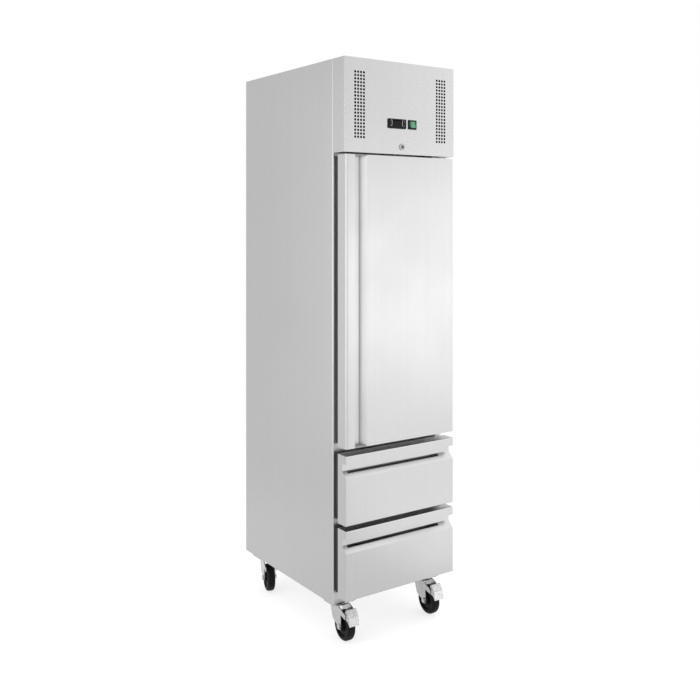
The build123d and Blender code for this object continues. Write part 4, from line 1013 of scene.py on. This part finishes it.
@dataclass(frozen=True)
class Lamp:
    """A soft rectangular lamp."""

    name: str
    place: Point
    aim: Point
    size: Span
    radiance: float

    def hang(self) -> None:
        """Hangs the lamp, with the power that gives its face the stated radiance."""
        data = bpy.data.lights.new(self.name, "AREA")
        data.shape, data.size, data.size_y = "RECTANGLE", *self.size
        data.energy = self.radiance * math.pi * self.size[0] * self.size[1]
        lamp = bpy.data.objects.new(self.name, data)
        lamp.location = self.place
        lamp.rotation_mode = "QUATERNION"
        lamp.rotation_quaternion = (Vector(self.aim) - Vector(self.place)).to_track_quat("-Z", "Y")
        bpy.context.scene.collection.objects.link(lamp)


@dataclass(frozen=True)
class Studio:
    """The pale floor, the soft lamps, the white surround and the photograph's camera."""

    eye: Point = (-1.9198, -2.8063, 1.4338)
    turn: float = 34.69
    lens: float = 46.108
    sensor: float = 36.0
    shift_y: float = -0.185
    view_end: float = 200.0
    floor_size: float = 60.0
    floor_tone: float = 0.36
    floor_mottle: float = 0.01
    floor_glow: float = 0.70
    floor_fade: Span = (0.9, 2.2)
    lamps: tuple[Lamp, ...] = (
        Lamp("front_softbox", (2.5, -3.5, 0.72), (0.0, -0.35, 1.0), (3.0, 1.9), 0.80),
        Lamp("front_wash", (2.6, -3.7, 1.80), (0.0, -0.35, 1.2), (3.4, 3.4), 0.33),
        Lamp("floor_softbox", (1.2, -1.85, 0.02), (1.2, -1.85, 2.0), (1.6, 2.4), 0.45),
        Lamp("left_softbox", (-2.9, -1.6, 1.2), (-0.2, -0.3, 1.1), (1.7, 2.6), 1.0),
        Lamp("rear_left_softbox", (-2.55, 1.65, 0.8), (-0.24, -0.1, 0.9), (1.4, 3.2), 0.62),
        Lamp("ceiling_softbox", (0.0, -0.6, 3.6), (0.0, 0.0, 1.0), (2.4, 2.4), 0.40),
        Lamp("right_top_softbox", (1.9, -1.1, 2.8), (0.0, -0.35, 0.5), (2.0, 2.0), 0.70),
        Lamp("edge_strip", (-3.2, -0.2, 1.2), (-0.24, -0.2, 1.2), (1.5, 2.8), 1.1),
        Lamp("camera_softbox", (-1.7, -4.6, 1.15), (-0.24, -0.35, 1.1), (3.4, 2.8), 0.8),
        Lamp("right_softbox", (3.4, -1.95, 1.1), (-0.2, -0.35, 1.1), (2.0, 2.6), 0.72),
    )

    def camera(self) -> None:
        """Sets up the camera level, at the photograph's place and turn."""
        data = bpy.data.cameras.new("photograph_camera")
        data.lens, data.sensor_width, data.shift_y = self.lens, self.sensor, self.shift_y
        data.clip_end = self.view_end
        camera = bpy.data.objects.new("photograph_camera", data)
        camera.location = self.eye
        camera.rotation_euler = (math.radians(90), 0.0, math.radians(-self.turn))
        bpy.context.scene.collection.objects.link(camera)
        bpy.context.scene.camera = camera

    @staticmethod
    def seen(tree: Tree) -> Socket:
        """Gives 1 for what the camera sees straight, in a reflection or through glass, and 0 for light.

        Args:
            tree: the tree that the nodes are added to.

        Returns:
            The mask.
        """
        path = tree.add("LightPath")
        direct = tree.maths("MAXIMUM", path.outputs["Is Camera Ray"], path.outputs["Is Glossy Ray"])
        return tree.maths("MAXIMUM", direct, path.outputs["Is Transmission Ray"])

    @staticmethod
    def world() -> None:
        """Makes the surround, which is white and gives plain soft light."""
        world = bpy.data.worlds.new("white_surround")
        bpy.context.scene.world = world
        world.use_nodes = True
        light = world.node_tree.nodes["Background"]
        light.inputs["Color"].default_value = (1.0, 1.0, 1.0, 1.0)
        light.inputs["Strength"].default_value = 1.0

    def floor(self) -> None:
        """Makes the floor, pale near the object and as white as the surround further out."""
        shape = bmesh.new()
        bmesh.ops.create_grid(shape, x_segments=2, y_segments=2, size=self.floor_size / 2)
        mesh = bpy.data.meshes.new("studio_floor")
        shape.to_mesh(mesh)
        shape.free()
        floor = bpy.data.objects.new("studio_floor", mesh)
        bpy.context.scene.collection.objects.link(floor)
        made = Material("studio_floor")
        tree = made.tree
        skin = tree.add("TexNoise", Scale=3.0, Detail=3.0)
        place = tree.add("TexCoord").outputs["Object"]
        tree.join(place, skin.inputs["Vector"])
        dark, light = ((self.floor_tone + change,) * 3 for change in (-self.floor_mottle, self.floor_mottle))
        made.feed("Base Color", tree.blend(skin.outputs["Fac"], dark, light))
        made.plain(Roughness=0.9, Specular_IOR_Level=0.1)
        far = tree.add("VectorMath", operation="LENGTH")
        tree.join(place, far.inputs[0])
        away = tree.ramp(far.outputs["Value"], *self.floor_fade)
        white = tree.add("Emission", Color=(1.0, 1.0, 1.0, 1.0), Strength=1.0)
        glow = tree.add("Emission", Color=(1.0, 1.0, 1.0, 1.0), Strength=self.floor_glow)
        near = tree.add("AddShader")
        tree.join(made.shader.outputs[0], near.inputs[0])
        tree.join(glow.outputs[0], near.inputs[1])
        seen_near = tree.add("MixShader")
        tree.join(self.seen(tree), seen_near.inputs[0])
        tree.join(made.shader.outputs[0], seen_near.inputs[1])
        tree.join(near.outputs[0], seen_near.inputs[2])
        mixed = tree.add("MixShader")
        tree.join(tree.maths("MULTIPLY", away, self.seen(tree)), mixed.inputs[0])
        tree.join(seen_near.outputs[0], mixed.inputs[1])
        tree.join(white.outputs[0], mixed.inputs[2])
        tree.join(mixed.outputs[0], made.made.node_tree.nodes["Material Output"].inputs["Surface"])
        mesh.materials.append(made.made)

    def build(self) -> None:
        """Builds the whole studio."""
        self.camera()
        self.world()
        self.floor()
        for lamp in self.lamps:
            lamp.hang()


def main() -> None:
    """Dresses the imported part, adds its small fittings and sets up the studio."""
    logging.basicConfig(level=logging.INFO, format="%(message)s")
    bpy.context.scene.view_settings.view_transform = "Standard"
    Studio().build()
    wardrobe = Wardrobe()
    wardrobe.dress_packed_nodes()
    Gasket("door_gasket", "door").build(wardrobe)
    Gasket("drawer_1_gasket", "drawer_1").build(wardrobe)
    Gasket("drawer_2_gasket", "drawer_2").build(wardrobe)
    BackScrews().build(wardrobe)
    # Black sheets behind the grilles: painted shade seen through the holes
    GrilleShadeSheet("left_grille_shade_sheet", (-0.208, -0.148)).build(wardrobe)
    GrilleShadeSheet("right_grille_shade_sheet", (0.148, 0.208)).build(wardrobe)
    ControllerFace().build(wardrobe)


if __name__ == "__main__":
    main()
